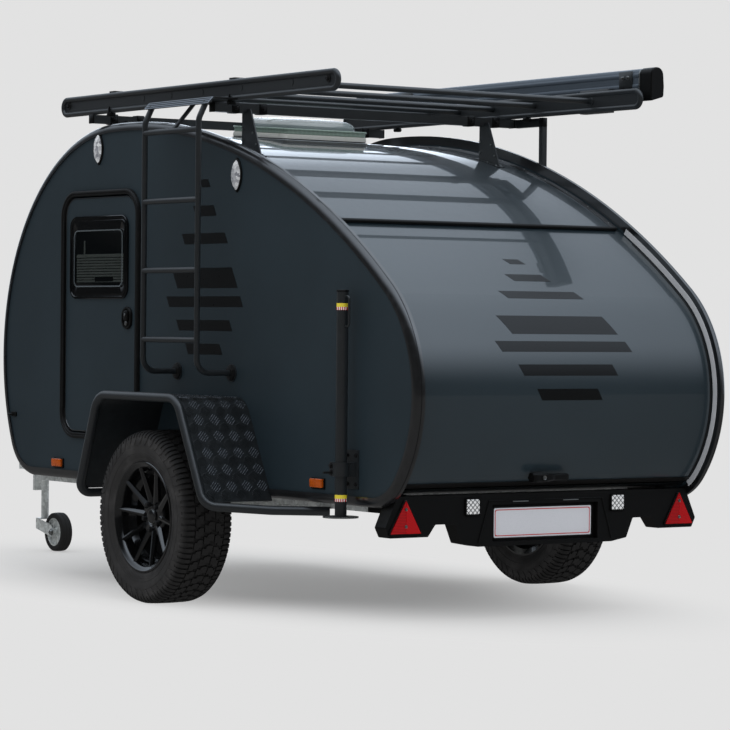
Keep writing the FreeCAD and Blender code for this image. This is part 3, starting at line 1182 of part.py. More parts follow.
for i, along in enumerate(STRAPS):
    rack_parts.append(block("strap_%d" % i, ("strap_w", "rack_at - rack_r + awning_at", "strap_t"),
                            ("%s - strap_w / 2" % along, "-awning_at", "strap_z - strap_sink")))
node(fuse("roof_rack", rack_parts))

# The case is D shaped: flat against the rack, round outside.  Each pair is a share of its
# depth and of its height.
AWNING_SHAPE = ((0, 0), (0, 1), (0.5, 1), (1, 0.6), (1, 0.2), (0.5, 0))
awning_points = [(-size("awning_at") - size("awning_deep") * deep,
                  size("awning_z") + size("awning_tall") * tall) for deep, tall in AWNING_SHAPE]
node(pad("awning_body", "YZ", [rounded(awning_points, size("awning_round"))], "awning_long",
         ("awning_rear_x", "0", "0")), "awning")

post_bar = block("post_bar", ("bar_rear_x - post_x", "post_w", "bar_h"),
                 ("post_x", "-post_at - post_w / 2", "bar_z"))
post_drop = block("post_drop", ("post_w", "post_w", "bar_z + bar_h - post_low_z"),
                  ("post_x", "-post_at - post_w / 2", "post_low_z"))
post_foot = block("post_foot", ("post_w", "post_at - (%s)" % WALL_OUT, "post_foot_h"),
                  ("post_x", "-post_at", "post_low_z"))
post_root = block("post_root", ("bar_w / 2", "post_at + post_w / 2 - bar_at", "bar_h"),
                  ("bar_rear_x - bar_w / 2", "-post_at - post_w / 2", "bar_z"))
node(fuse("side_post", [post_bar, post_drop, post_foot, post_root]))

# ---- Ladder ----------------------------------------------------------------------------
rail_y = size("ladder_at")
wall_out = size("body_half") - size("wall_inset")
plate_z = size("step_plate_z")
flange_z = size("ladder_flange_z")
ladder_parts = []
for tag, along in (("front", "ladder_front_x"), ("rear", "ladder_rear_x")):
    ladder_parts.append(pipe("ladder_" + tag, [
        (size(along), wall_out, flange_z), (size(along), rail_y, flange_z),
        (size(along), rail_y, plate_z - size("ladder_top_drop")),
        (size(along), rail_y - size("ladder_top_in"), plate_z + size("ladder_top_rise"))],
        "ladder_r", size("ladder_bend")))
    ladder_parts.append(rod("ladder_flange_" + tag, "ladder_flange_r", "ladder_flange_t",
                            (along, WALL_OUT, "ladder_flange_z"), "Y"))
for i in range(LADDER_STEPS):
    ladder_parts.append(rod("ladder_step_%d" % i, "ladder_r", "ladder_front_x - ladder_rear_x",
                            ("ladder_rear_x", "ladder_at", "step_z - %d * step_pitch" % i), "X"))
slope_y = rail_y - size("step_plate_in")
flat_y = slope_y - size("step_plate_slope")
flat_z = plate_z + size("step_plate_rise")
tread_path = [(slope_y, plate_z), (flat_y, flat_z), (size("rack_at") + size("seat_gap"), flat_z)]
tread = pad("ladder_tread", "YZ", [strip(tread_path, size("step_plate_t"))],
            "ladder_front_x - ladder_rear_x + step_plate_over + step_plate_ahead",
            ("ladder_rear_x - step_plate_over", "0", "0"))
middle_x = (size("ladder_front_x") + size("ladder_rear_x")) / 2
knee = size("brace_out")
brace = pipe("ladder_brace", [
    (middle_x, rail_y, size("step_z")), (middle_x, rail_y - knee, size("step_z") + knee),
    (middle_x, rail_y - size("brace_reach"), flat_z - size("brace_top"))],
    "brace_r", size("brace_bend"))
node(fuse("ladder", ladder_parts + [tread, brace]))

# ---- Check and write ----------------------------------------------------------------------
doc.recompute()
for thing in doc.Objects:
    if "Invalid" in thing.State or "Error" in thing.State:
        raise RuntimeError("%s did not build: %s" % (thing.Label, thing.State))
os.makedirs("parts", exist_ok=True)
for thing in NODES:
    shape = thing.Shape
    if shape.isNull() or not shape.isValid():
        raise RuntimeError("%s has no valid shape" % thing.Label)
    shape.exportStep("parts/%s.step" % thing.Label)
    print("%-22s solids %d  volume %.4f dm3" % (thing.Label, len(shape.Solids), shape.Volume / 1e6))
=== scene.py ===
"""Teardrop trailer: finishes and fittings dressed round the fixed frame.

Metres.  +X points forward to the coupling, +Y to the left side, +Z up.
"""
import json
import math

import bmesh
import bpy
import numpy as np
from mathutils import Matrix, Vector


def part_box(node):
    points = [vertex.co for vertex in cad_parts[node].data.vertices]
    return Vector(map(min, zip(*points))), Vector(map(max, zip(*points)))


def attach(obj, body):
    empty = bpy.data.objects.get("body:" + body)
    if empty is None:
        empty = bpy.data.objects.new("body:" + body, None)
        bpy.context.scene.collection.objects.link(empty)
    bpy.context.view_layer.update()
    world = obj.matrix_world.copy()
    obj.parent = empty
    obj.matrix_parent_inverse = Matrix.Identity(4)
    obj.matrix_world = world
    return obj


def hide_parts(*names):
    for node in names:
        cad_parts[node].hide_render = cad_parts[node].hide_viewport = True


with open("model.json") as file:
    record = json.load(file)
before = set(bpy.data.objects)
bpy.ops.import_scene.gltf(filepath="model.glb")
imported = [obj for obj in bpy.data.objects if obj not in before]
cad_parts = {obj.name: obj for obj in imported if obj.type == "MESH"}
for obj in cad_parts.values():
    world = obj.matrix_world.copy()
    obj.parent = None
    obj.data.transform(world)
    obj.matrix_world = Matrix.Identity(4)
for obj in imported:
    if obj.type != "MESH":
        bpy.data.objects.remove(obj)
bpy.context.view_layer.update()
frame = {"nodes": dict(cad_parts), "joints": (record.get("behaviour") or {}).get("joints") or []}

bl_info = {
    "name": "Teardrop Trailer",
    "version": (1, 0, 0),
    "blender": (4, 5, 0),
    "location": "View3D > Sidebar > Trailer",
    "description": "Dresses the frame of a teardrop camping trailer",
    "category": "Object",
}

NODES = frame["nodes"]
WELD = 1e-6      # points nearer than this are one
UP = (0, 0, 1)


# ---- Lines ----

def bent(points, radius, steps=8):
    """A polyline with each corner replaced by an arc, of one radius or of one for each.

    The arc starts radius / tan(half the inner angle) from the corner, and each of its
    points is centre + radius * (cos a, sin a) between the two tangent directions.
    """
    points = [np.asarray(p, float) for p in points]
    out = [points[0][None]]
    for before, at, after, radius in zip(points, points[1:], points[2:],
                                         np.broadcast_to(radius, len(points) - 2)):
        into = (before - at) / np.linalg.norm(before - at)
        on = (after - at) / np.linalg.norm(after - at)
        half = math.acos(float(np.clip(into @ on, -1, 1))) / 2
        middle = (into + on) / np.linalg.norm(into + on)
        centre = at + middle * radius / math.sin(half)
        sweep = math.pi / 2 - half
        side = on - middle * (on @ middle)
        side /= np.linalg.norm(side)
        turn = np.linspace(-sweep, sweep, steps)[:, None]
        out.append(centre - radius * (middle * np.cos(turn) - side * np.sin(turn)))
    out.append(points[-1][None])
    return np.concatenate(out)


def rounded(corners, radius, steps=6):
    """A closed outline, a bent polyline that starts and ends half way along one side."""
    corners = [np.asarray(c, float) for c in corners]
    start = (corners[-1] + corners[0]) / 2
    return bent([start, *corners, start], radius, steps)[:-1]


def oblong(x, z, long, tall, radius, steps=6):
    """A rounded rectangle about its centre, anticlockwise."""
    a, b = long / 2, tall / 2
    return rounded([(x - a, z - b), (x + a, z - b), (x + a, z + b), (x - a, z + b)], radius, steps)


def ring(radius, steps=24):
    """A circle, anticlockwise from +X: radius * (cos a, sin a)."""
    turn = np.arange(steps) * 2 * math.pi / steps
    return radius * np.stack([np.cos(turn), np.sin(turn)], 1)


def flowing(points, steps):
    """Points evenly spread on a Catmull-Rom curve through the given ones.

    Each span is the cubic a + b t + c t^2 + d t^3 whose end slopes are half the
    difference of the neighbours.
    """
    points = np.asarray(points, float)
    padded = np.concatenate([2 * points[:1] - points[1:2], points, 2 * points[-1:] - points[-2:-1]])
    where = np.linspace(0, len(points) - 1, steps)
    span = np.minimum(where.astype(int), len(points) - 2)
    t = (where - span)[:, None]
    p0, p1, p2, p3 = (padded[span + i] for i in range(4))
    return 0.5 * (2 * p1 + (p2 - p0) * t + (2 * p0 - 5 * p1 + 4 * p2 - p3) * t ** 2
                  + (3 * p1 - p0 - 3 * p2 + p3) * t ** 3)


def lengths(line):
    """The length along a line from its start to each of its points."""
    return np.concatenate([[0], np.cumsum(np.linalg.norm(np.diff(line, axis=0), axis=1))])


def apart(line, gap):
    """Which points of a line stand more than a gap from the one before."""
    return np.concatenate([[True], np.linalg.norm(np.diff(line, axis=0), axis=1) > gap])


# ---- Shapes: each is (points, faces) ----

def quads(rows, cols, wrap_rows, wrap_cols):
    """Faces of a grid of points numbered row by row: each joins (r, c) to (r + 1, c + 1)."""
    r, c = np.meshgrid(np.arange(rows if wrap_rows else rows - 1),
                       np.arange(cols if wrap_cols else cols - 1), indexing="ij")
    r2, c2 = (r + 1) % rows, (c + 1) % cols
    return np.stack([r * cols + c, r * cols + c2, r2 * cols + c2, r2 * cols + c], -1).reshape(-1, 4)


def skin(points, wrap_rows=False, wrap_cols=False):
    """A surface over a rows x cols x 3 array of points, joined to itself where it wraps."""
    rows, cols = points.shape[:2]
    return points.reshape(-1, 3), quads(rows, cols, wrap_rows, wrap_cols).tolist()


def capped(points):
    """Closed outlines stacked in rows, with a flat face on the first and the last."""
    rows, cols = points.shape[:2]
    flat, faces = skin(points, wrap_cols=True)
    return flat, faces + [list(range(cols))[::-1], list(range((rows - 1) * cols, rows * cols))]


AXES = {"X": ((0, 1, 0), (0, 0, 1), (1, 0, 0)), "Y": ((0, 0, 1), (1, 0, 0), (0, 1, 0)),
        "Z": ((1, 0, 0), (0, 1, 0), (0, 0, 1))}
ORDER = {"X": (1, 2, 0), "Y": (0, 2, 1), "Z": (0, 1, 2)}


def laid(outline, level, along="Y"):
    """An outline as points at a level: (Y, Z) along X, (X, Z) along Y and (X, Y) along Z."""
    points = np.empty((len(outline), 3))
    points[:, ORDER[along]] = np.column_stack([outline, np.full(len(outline), level)])
    return points


def stepped(levels, along="Y"):
    """A solid through a stack of (outline, level), closed flat at both ends."""
    return capped(np.stack([laid(outline, level, along) for outline, level in levels]))


def framed(levels, along="Y"):
    """A closed ring through a loop of (outline, level)."""
    return skin(np.stack([laid(outline, level, along) for outline, level in levels]), True, True)


def prism(outline, low, high, along, edge=0.0):
    """An outline carried straight from low to high along an axis.

    With an edge the two ends draw in by it, at 45 degrees, towards the outline's middle.
    """
    outline = np.asarray(outline, float)
    middle = (outline.max(0) + outline.min(0)) / 2
    half = (outline.max(0) - outline.min(0)) / 2
    small = middle + (outline - middle) * (1 - edge / half)
    if not edge:
        return stepped([(outline, low), (outline, high)], along)
    step = math.copysign(edge, high - low)
    return stepped([(small, low), (outline, low + step), (outline, high - step),
                    (small, high)], along)


def slab(low, high, edge=0.002):
    """A box between two corners whose edges are broken by a small flat."""
    low, high = np.minimum(low, high).astype(float), np.maximum(low, high).astype(float)
    middle, size = (low + high) / 2, high - low
    edge = min(edge, size.min() * 0.3)
    outline = np.array([(-.5, -.5), (.5, -.5), (.5, .5), (-.5, .5)]) * size[:2]
    inward = np.sign(outline) * edge
    flat = np.stack([outline - inward * (1, 0), outline - inward * (0, 1)], 1)
    flat[[0, 2]] = flat[[0, 2]][:, ::-1]
    flat = flat.reshape(-1, 2)
    small = flat - np.sign(flat) * edge * 0.6
    heights = np.array([-.5 * size[2], edge - .5 * size[2], .5 * size[2] - edge, .5 * size[2]])
    points = np.stack([np.concatenate([line, np.full((8, 1), h)], 1) + middle
                       for line, h in zip((small, flat, flat, small), heights)])
    return capped(points)


def lathe(profile, centre, along="Y", steps=64, closed=False):
    """A profile of (radius, height) turned about an axis through the centre.

    Each point is centre + radius (cos a U + sin a W) + height V, for U, W across the axis.
    """
    profile = np.asarray(profile, float)
    u, w, v = (np.array(a, float) for a in AXES[along])
    angle = (np.arange(steps) * 2 * math.pi / steps)[:, None, None]
    radius, height = profile[None, :, :1], profile[None, :, 1:]
    points = np.array(centre) + radius * (np.cos(angle) * u + np.sin(angle) * w) + height * v
    return skin(points, wrap_rows=True, wrap_cols=closed)


def disc(centre, radius, low, high, along="Y", edge=0.001, steps=24):
    """A round plate with a broken edge, as a lathe that closes on its axis."""
    return lathe([(0, low), (radius - edge, low), (radius, low + edge), (radius, high - edge),
                  (radius - edge, high), (0, high)], centre, along, steps)


def nut(centre, radius, high, along="Y"):
    """A hexagon head with a domed top, six steps round."""
    shoulder = high - math.copysign(radius * 0.15, high)
    return lathe(
        [(radius, 0), (radius, shoulder), (radius * 0.8, high), (0, high)], centre, along, 6)


def headings(path):
    """Unit directions along a path: each the mean of the steps before and after."""
    step = np.diff(path, axis=0)
    step /= np.linalg.norm(step, axis=1)[:, None]
    mean = np.concatenate([step[:1], step[:-1] + step[1:], step[-1:]])
    return mean / np.linalg.norm(mean, axis=1)[:, None]


def carried(section, path, up):
    """A closed (side, up) section carried along a path, mitred at each point.

    Each point is path + s * side + h * up, where side is the heading crossed with up.
    """
    path, section = np.asarray(path, float), np.asarray(section, float)
    ahead = headings(path)
    up = np.broadcast_to(np.asarray(up, float), path.shape)
    side = np.cross(ahead, up)
    side /= np.linalg.norm(side, axis=1)[:, None]
    lift = np.cross(side, ahead)
    sideways, upward = section[None, :, :1], section[None, :, 1:]
    return path[:, None] + sideways * side[:, None] + upward * lift[:, None]


def tube(path, radius, sides=14, up=(0.31, 0.17, 0.93)):
    """A round bar along a path: circles of the radius across each heading."""
    return capped(carried(ring(radius, sides), path, up))


def hoop(radius, path):
    """A round bar of eight sides carried round a closed level path, joined to itself."""
    around = np.concatenate([path[-1:], path, path[:1]])
    return skin(carried(ring(radius, 8), around, UP)[1:-1], wrap_rows=True, wrap_cols=True)


def shifted(shape, by):
    """The same shape moved by a vector."""
    return shape[0] + np.array(by), shape[1]


def other_side(shape):
    """The same shape mirrored over the centre line, Y to -Y."""
    return shape[0] * (1, -1, 1), shape[1]


def spun(shapes, centre, count, first=0.0):
    """Copies of shapes turned evenly about the line along Y through the centre.

    A turn by a keeps the part along Y and turns the rest: cos a p + sin a Y x p.
    """
    axis = np.array([0.0, 1.0, 0.0])
    copies = []
    for points, faces in shapes:
        rest = points - centre
        for turn in first + np.arange(count) * 2 * math.pi / count:
            kept = (rest @ axis)[:, None] * axis
            moved = kept + (rest - kept) * math.cos(turn) + np.cross(axis, rest) * math.sin(turn)
            copies.append((moved + centre, faces))
    return copies


def piece(name, shapes, finish, body="trailer", slot="", smooth=38, stands_for=()):
    """One object from many shapes, joined, welded, facing outwards and riding on a body.

    Its slot argument is not used.
    """
    points, faces, start = [], [], 0
    for spots, sides in shapes:
        points.append(np.asarray(spots, float))
        faces += [[i + start for i in side] for side in sides]
        start += len(spots)
    mesh = bpy.data.meshes.new(name)
    mesh.from_pydata(np.concatenate(points).tolist(), [], faces)
    made = bpy.data.objects.new(name, mesh)
    bpy.context.scene.collection.objects.link(made)
    weld(mesh)
    mesh.materials.append(finish)
    mesh.shade_smooth()
    mesh.set_sharp_from_angle(angle=math.radians(smooth))
    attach(made, body)
    if stands_for:
        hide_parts(*stands_for)
    return made


def weld(mesh):
    """Merge doubles and turn every shell's faces outwards."""
    work = bmesh.new()
    work.from_mesh(mesh)
    bmesh.ops.remove_doubles(work, verts=work.verts, dist=WELD)
    bmesh.ops.recalc_face_normals(work, faces=work.faces)
    work.to_mesh(mesh)
    work.free()


def paint(finish, *nodes):
    """Give CAD nodes a finish."""
    for name in nodes:
        slots = NODES[name].data.materials
        slots.clear()
        slots.append(finish)


def pair(stem):
    """The names of a left and a right node."""
    return stem + "_left", stem + "_right"


# ---- The side outline ----
# Tangent arcs from the tail over the roof to the chin: radius, degrees turned.
OUTLINE_START = (-2.029, 0.465)
OUTLINE_ARCS = ((0.239, 50.65), (0.570, 90.6), (3.323, 40.73), (1.053, 111.95))
SKIN_INSET = 0.052      # from the outline in to the bent sheet of the roof and the hatch


def side_line(inset, steps=40):
    """Points (X, Z) of the body's side outline drawn in by the inset, with normals.

    Each arc is centre + radius * (-sin h, cos h) for headings h that fall as it turns;
    the last arc's radius is what brings the line back to its first height.
    """
    heading, at = math.pi, np.array(OUTLINE_START) + (0, inset)
    low = at[1]
    lines, ways = [], []
    for index in range(len(OUTLINE_ARCS) + 1):
        if index < len(OUTLINE_ARCS):
            radius, turn = OUTLINE_ARCS[index][0] - inset, math.radians(OUTLINE_ARCS[index][1])
        else:
            turn = heading + math.pi
            radius = (at[1] - low) / (1 - math.cos(turn))
        centre = at + radius * np.array([math.sin(heading), -math.cos(heading)])
        aim = heading - turn * np.linspace(0, 1, steps)
        out = np.stack([-np.sin(aim), np.cos(aim)], 1)
        lines.append(centre + radius * out)
        ways.append(out)
        at, heading = lines[-1][-1], heading - turn
    return np.concatenate(lines), np.concatenate(ways)


def coursed(line, out):
    """A line with its normals and its length from the start, for placing things along it."""
    keep = apart(line, WELD)
    return lengths(line[keep]), line[keep], out[keep]


def on_course(course, along, across, lift):
    """Points on a bent sheet: length along its course, Y across it and height off it."""
    length, line, out = course
    x, z = (np.interp(along, length, line[:, i]) for i in (0, 1))
    nx, nz = (np.interp(along, length, out[:, i]) for i in (0, 1))
    return np.stack([x + nx * lift, np.broadcast_to(across, np.shape(x)), z + nz * lift], -1)


SKIN = coursed(*side_line(SKIN_INSET))


def on_shell(along, across, lift):
    """Points on the bent shell of the body."""
    return on_course(SKIN, along, across, lift)


def reach(x):
    """Length along the shell from the tail to where it passes X over the roof."""
    length, line, out = SKIN
    keep = out[:, 1] > 0
    order = np.argsort(line[keep][:, 0])
    return float(np.interp(x, line[keep][order, 0], length[keep][order]))


def height_at(z):
    """Length along the shell to where it climbs past a height at the tail."""
    length, line, out = SKIN
    keep = out[:, 0] < 0
    return float(np.interp(z, line[keep][:, 1], length[keep]))


# ---- Settings a user changes ----

def screen(red, green, blue):
    """A colour given as it looks, 0 to 255, as linear light."""
    return tuple(c / 3294.6 if c <= 10.31 else ((c / 255 + 0.055) / 1.055) ** 2.4
                 for c in (red, green, blue))


def shade(colour, factor):
    """The colour made darker or paler, in linear light."""
    return tuple(min(1.0, c * factor) for c in colour[:3])


def colour_of(name, text, rgb):
    """A colour that a user may change, given as it looks."""
    return bpy.props.FloatVectorProperty(name=name, description=text, subtype="COLOR", size=3,
                                         min=0.0, max=1.0, default=screen(*rgb))


def count_of(name, text, count, least):
    """A whole number that a user may change."""
    return bpy.props.IntProperty(name=name, description=text, default=count, min=least)


def number_of(name, text, value, least=0.0, **more):
    """A number that a user may change."""
    return bpy.props.FloatProperty(name=name, description=text, default=value, min=least, **more)


def length_of(name, text, metres):
    """A length that a user may change."""
    return number_of(name, text, metres, subtype="DISTANCE", unit="LENGTH")


class TrailerPaint(bpy.types.PropertyGroup):
    """Colours of the finishes"""
    body: colour_of("Body", "Paint of the panels", (38, 50, 57))
    black: colour_of("Mouldings", "Black of the edge mouldings", (20, 21, 23))
    coat: colour_of("Powder coat", "Black of ladder, rack and fenders", (30, 34, 37))
    # Painted highlight: the tread bars' pale grey stands for light caught on their tops and edges.
    bar: colour_of("Tread bars", "Grey of the rubbed tread bars", (88, 95, 104))
    plastic: colour_of("Plastic", "Black of moulded plastic", (9, 9, 9))
    tyre: colour_of("Tyre", "Grey black of the tyres", (52, 51, 51))
    zinc: colour_of("Zinc", "Grey of galvanised steel", (206, 210, 209))
    # Painted reflection: the awning case's black is set to a paler grey-blue for the sky seen in
    # its face.
    anodised: colour_of("Awning", "Black of the awning case", (78, 88, 99))
    amber: colour_of("Amber", "Amber side lamps", (190, 84, 8))
    red: colour_of("Red", "Rear reflectors", (168, 5, 14))


# ---- Shader wiring ----

class Wire:
    """One socket of a shader; a sum written on it adds its Math nodes."""

    def __init__(self, finish, socket):
        self.finish, self.socket = finish, socket

    def math(self, operation, *others):
        """The Math node of an operation on this value and others."""
        return self.finish.add("ShaderNodeMath", {"operation": operation}, self, *others)

    def __add__(self, other):
        return self.math("ADD", other)

    def __sub__(self, other):
        return self.math("SUBTRACT", other)

    def __mul__(self, other):
        return self.math("MULTIPLY", other)

    def __truediv__(self, other):
        return self.math("DIVIDE", other)

    def __rsub__(self, other):
        return self.finish.add("ShaderNodeMath", {"operation": "SUBTRACT"}, other, self)

    def __rtruediv__(self, other):
        return self.finish.add("ShaderNodeMath", {"operation": "DIVIDE"}, other, self)

    __radd__, __rmul__ = __add__, __mul__

    def over(self, limit):
        """1 where the value is more than the limit."""
        return self.math("GREATER_THAN", limit)

    def swing(self):
        """The absolute value."""
        return self.math("ABSOLUTE")

    def rest(self, size):
        """What is left after whole steps of a size."""
        return self.math("FLOORED_MODULO", size)

    def ramp(self, low, high, start=0.0, end=1.0):
        """A smooth rise from start to end as the value goes from low to high."""
        return self.finish.add("ShaderNodeMapRange", {"interpolation_type": "SMOOTHSTEP"},
                               self, low, high, start, end)


class Wiring:
    """Nodes and links of one shader tree, added step by step."""

    def __init__(self, tree):
        self.nodes, self.links = tree.nodes, tree.links

    def feed(self, socket, value):
        """Link a socket to a wire, set it to a plain value, or leave it at None."""
        if isinstance(value, Wire):
            self.links.new(value.socket, socket)
        elif value is not None:
            if socket.type == "RGBA" and len(value) == 3:
                value = (*value, 1.0)
            socket.default_value = value

    def add(self, kind, settings, *values, output=0, **named):
        """One node of a type, with its settings first and then its sockets' values."""
        node = self.nodes.new(kind)
        for key, value in settings.items():
            setattr(node, key, value)
        for index, value in enumerate(values):
            self.feed(node.inputs[index], value)
        for key, value in named.items():
            self.feed(node.inputs[key.replace("_", " ")], value)
        return Wire(self, node.outputs[output])

    def where(self):
        """The object's own coordinates."""
        return self.add("ShaderNodeTexCoord", {}, output=3)

    def axes(self, vector=None):
        """The three parts of a vector."""
        node = self.nodes.new("ShaderNodeSeparateXYZ")
        self.feed(node.inputs[0], vector or self.where())
        return [Wire(self, out) for out in node.outputs]

    def vector(self, x, y, z):
        """A vector of three parts."""
        return self.add("ShaderNodeCombineXYZ", {}, x, y, z)

    def cloud(self, scale, detail=3.0, rough=0.55, vector=None):
        """Soft noise from 0 to 1, so many lumps to a metre."""
        return self.add("ShaderNodeTexNoise", {}, vector or self.where(), None, scale, detail,
                        rough)

    def cells(self, scale, feature="F1", output=0):
        """Distance to, or with output 1 the random colour of, scattered points."""
        return self.add("ShaderNodeTexVoronoi", {"feature": feature}, self.where(), None, scale,
                        output=output)

    def waves(self, value, per_metre):
        """A sine wave from 0 to 1, by radians to a metre."""
        return (value * per_metre).math("SINE") * 0.5 + 0.5

    def blend(self, share, one, two):
        """Colour one where the share is 0 and colour two where it is 1."""
        return self.add("ShaderNodeMix", {"data_type": "RGBA"}, share, None, None, None, None, None,
                        one, two, output=2)

    def bump(self, height, depth, strength=1.0):
        """Normals tilted by a height map whose 0 to 1 is a depth in metres."""
        return self.add("ShaderNodeBump", {}, strength, depth, Height=height)


class Finish(Wiring):
    """A material on a Principled shader."""

    def __init__(self, name, colour, roughness, **fixed):
        self.material = bpy.data.materials.new(name)
        self.material.use_nodes = True
        super().__init__(self.material.node_tree)
        self.shader = self.nodes["Principled BSDF"]
        self.set(Base_Color=colour, Roughness=roughness, **fixed)

    def set(self, **values):
        """Feed the shader's sockets, each named with _ for a space."""
        for name, value in values.items():
            self.feed(self.shader.inputs[name.replace("_", " ")], value)
        return self


FINISHES, SLOTS = {}, {}


def finish(slot=""):
    """Make each finish once, when it is first asked for, and note its usual slot."""
    def noted(maker):
        """The maker, made to run once."""
        def once():
            if maker not in FINISHES:
                FINISHES[maker] = maker(bpy.context.scene.trailer_paint).material
                SLOTS[FINISHES[maker].name] = slot
            return FINISHES[maker]
        return once
    return noted


@finish()
def wall_paint(look):
    """Satin paint on flat composite panels: a faint unevenness and orange peel."""
    made = Finish("wall_paint", look.body, 0.48, Specular_IOR_Level=0.3)
    drift = made.cloud(1.7, 4.0)
    colour = made.blend(drift.ramp(0.3, 0.7), shade(look.body, 0.93), shade(look.body, 1.07))
    return made.set(Base_Color=colour, Roughness=made.cloud(9.0) * 0.10 + 0.43,
                    Normal=made.bump(made.cloud(420.0, 2.0), 0.00012))


@finish()
def gloss_paint(look):
    """Deep gloss on the bent roof and hatch sheet, which waves very slightly."""
    made = Finish("gloss_paint", look.body, 0.30, Coat_Weight=1.0, Coat_Roughness=0.03,
                  Coat_IOR=1.55)
    x, y, z = made.axes()
    wave = made.cloud(1.1, 2.0, vector=made.vector(x * 0.6, y * 0.25, z * 0.6))
    peel = made.cloud(150.0, 2.0) * 0.02
    normal = made.bump(wave + peel, 0.004, 0.6)
    colour = made.blend(made.cloud(2.3, 4.0).ramp(0.3, 0.7), shade(look.body, 0.9), look.body)
    return made.set(Base_Color=colour, Roughness=made.cloud(30.0) * 0.08 + 0.26, Normal=normal)


@finish("trim_black")
def trim_black(look):
    """Satin black on the edge mouldings, finely drawn, a little dusty."""
    made = Finish("trim_black", look.black, 0.34, Specular_IOR_Level=0.9, Coat_Weight=1.0,
                  Coat_Roughness=0.10, Coat_IOR=1.7)
    dust = made.cloud(38.0, 5.0).ramp(0.45, 0.8)
    colour = made.blend(dust, shade(look.black, 0.8), shade(look.black, 1.6))
    return made.set(Base_Color=colour, Roughness=dust * 0.14 + 0.28,
                    Normal=made.bump(made.cloud(900.0, 2.0), 0.00006))


@finish("black_steel")
def powder_black(look):
    """Satin powder coat with its fine pebbled skin."""
    made = Finish("powder_black", look.coat, 0.40, Specular_IOR_Level=0.9, Coat_Weight=0.3,
                  Coat_Roughness=0.3)
    grain = made.cells(850.0)
    wear = made.cloud(14.0, 5.0).ramp(0.55, 0.8)
    colour = made.blend(wear, look.coat, shade(look.coat, 1.35))
    return made.set(Base_Color=colour, Roughness=wear * 0.1 + 0.38,
                    Normal=made.bump(grain, 0.00018, 0.5))


@finish("black_plastic")
def gloss_black(look):
    """Polished black plastic of the window frames."""
    made = Finish("gloss_black", (0.0015, 0.0016, 0.0018), 0.12, Coat_Weight=0.5,
                  Coat_Roughness=0.04)
    return made.set(Roughness=made.cloud(40.0, 4.0) * 0.08 + 0.08)


@finish("black_steel")
def step_face_highlight(look):
    """Pale satin grey on the face of the ladder's top step, a painted highlight where the bevel
    catches the sky.
    """
    made = Finish("step_face_highlight", screen(140, 148, 158), 0.3, Metallic=0.85)
    x, y, z = made.axes()
    drawn = made.cloud(300.0, 3.0, vector=made.vector(x * 0.03, y, z))
    return made.set(Roughness=drawn * 0.2 + 0.24, Base_Color=made.blend(
        drawn, screen(126, 134, 144), screen(156, 164, 174)))


@finish("galvanised")
def rail_sky_reflection(look):
    """Pale satin strip beside the hatch, a painted reflection of the sky on the edge next to it."""
    made = Finish("rail_sky_reflection", screen(196, 199, 204), 0.4)
    colour = made.blend(made.cloud(5.0, 4.0), screen(170, 173, 178), screen(214, 217, 222))
    return made.set(Base_Color=colour, Roughness=made.cloud(60.0, 3.0) * 0.2 + 0.3)


@finish("black_plastic")
def moulded_black(look):
    """Black moulded plastic with a fine leather grain."""
    made = Finish("moulded_black", look.plastic, 0.5, Specular_IOR_Level=0.32)
    grain = made.cells(620.0, feature="SMOOTH_F1")
    scuff = made.cloud(26.0, 6.0).ramp(0.55, 0.85)
    return made.set(Base_Color=made.blend(scuff, look.plastic, shade(look.plastic, 1.5)),
                    Roughness=scuff * 0.12 + 0.44, Normal=made.bump(grain, 0.0003, 0.6))


@finish("black_plastic")
def rubber_black(look):
    """Soft seal rubber, dull, with a bloom."""
    made = Finish("rubber_black", (0.008, 0.008, 0.008), 0.55, Specular_IOR_Level=0.4)
    bloom = made.cloud(60.0, 4.0).ramp(0.5, 0.9)
    return made.set(Base_Color=made.blend(bloom, (0.006, 0.006, 0.006), (0.016, 0.016, 0.017)),
                    Roughness=bloom * 0.15 + 0.5)


@finish("tyre")
def tyre_rubber(look):
    """Tyre rubber: dull grey black with dust in patches, darker from the shoulders out to the
    tread, and with painted shade in the tread's grooves.
    """
    made = Finish("tyre_rubber", look.tyre, 0.62, Specular_IOR_Level=0.3)
    x, _, z = made.axes()
    x, z = x - WHEEL_AT[0], z - WHEEL_AT[2]
    far = (x * x + z * z).math("SQRT")
    dust = made.cloud(11.0, 6.0, 0.65).ramp(0.42, 0.72)
    speck = made.cloud(260.0, 3.0).ramp(0.55, 0.75)
    colour = made.blend(dust * 0.7 + speck * 0.3, shade(look.tyre, 0.8), shade(look.tyre, 1.7))
    # Darker from the shoulders out over the tread.
    colour = made.blend(far.ramp(0.335, 0.360, 0.0, 0.85), colour, shade(look.tyre, 0.3))
    # Painted shade: the grooves stay darker than the block tops, which are lifted a little.
    colour = made.blend(far.ramp(0.3620, 0.3665, 0.0, 0.2), colour, shade(look.tyre, 0.8))
    return made.set(Base_Color=colour, Roughness=dust * 0.12 + 0.66,
                    Normal=made.bump(made.cloud(700.0, 3.0), 0.0003, 0.5))


@finish("wheel_black")
def wheel_gloss(look):
    """Gloss black on the cast wheel, with a clear coat."""
    made = Finish("wheel_gloss", (0.0030, 0.0031, 0.0034), 0.22, Coat_Weight=1.0,
                  Coat_Roughness=0.04, Specular_IOR_Level=0.9)
    return made.set(Roughness=made.cloud(24.0, 4.0) * 0.10 + 0.10,
                    Normal=made.bump(made.cloud(220.0, 2.0), 0.00008))


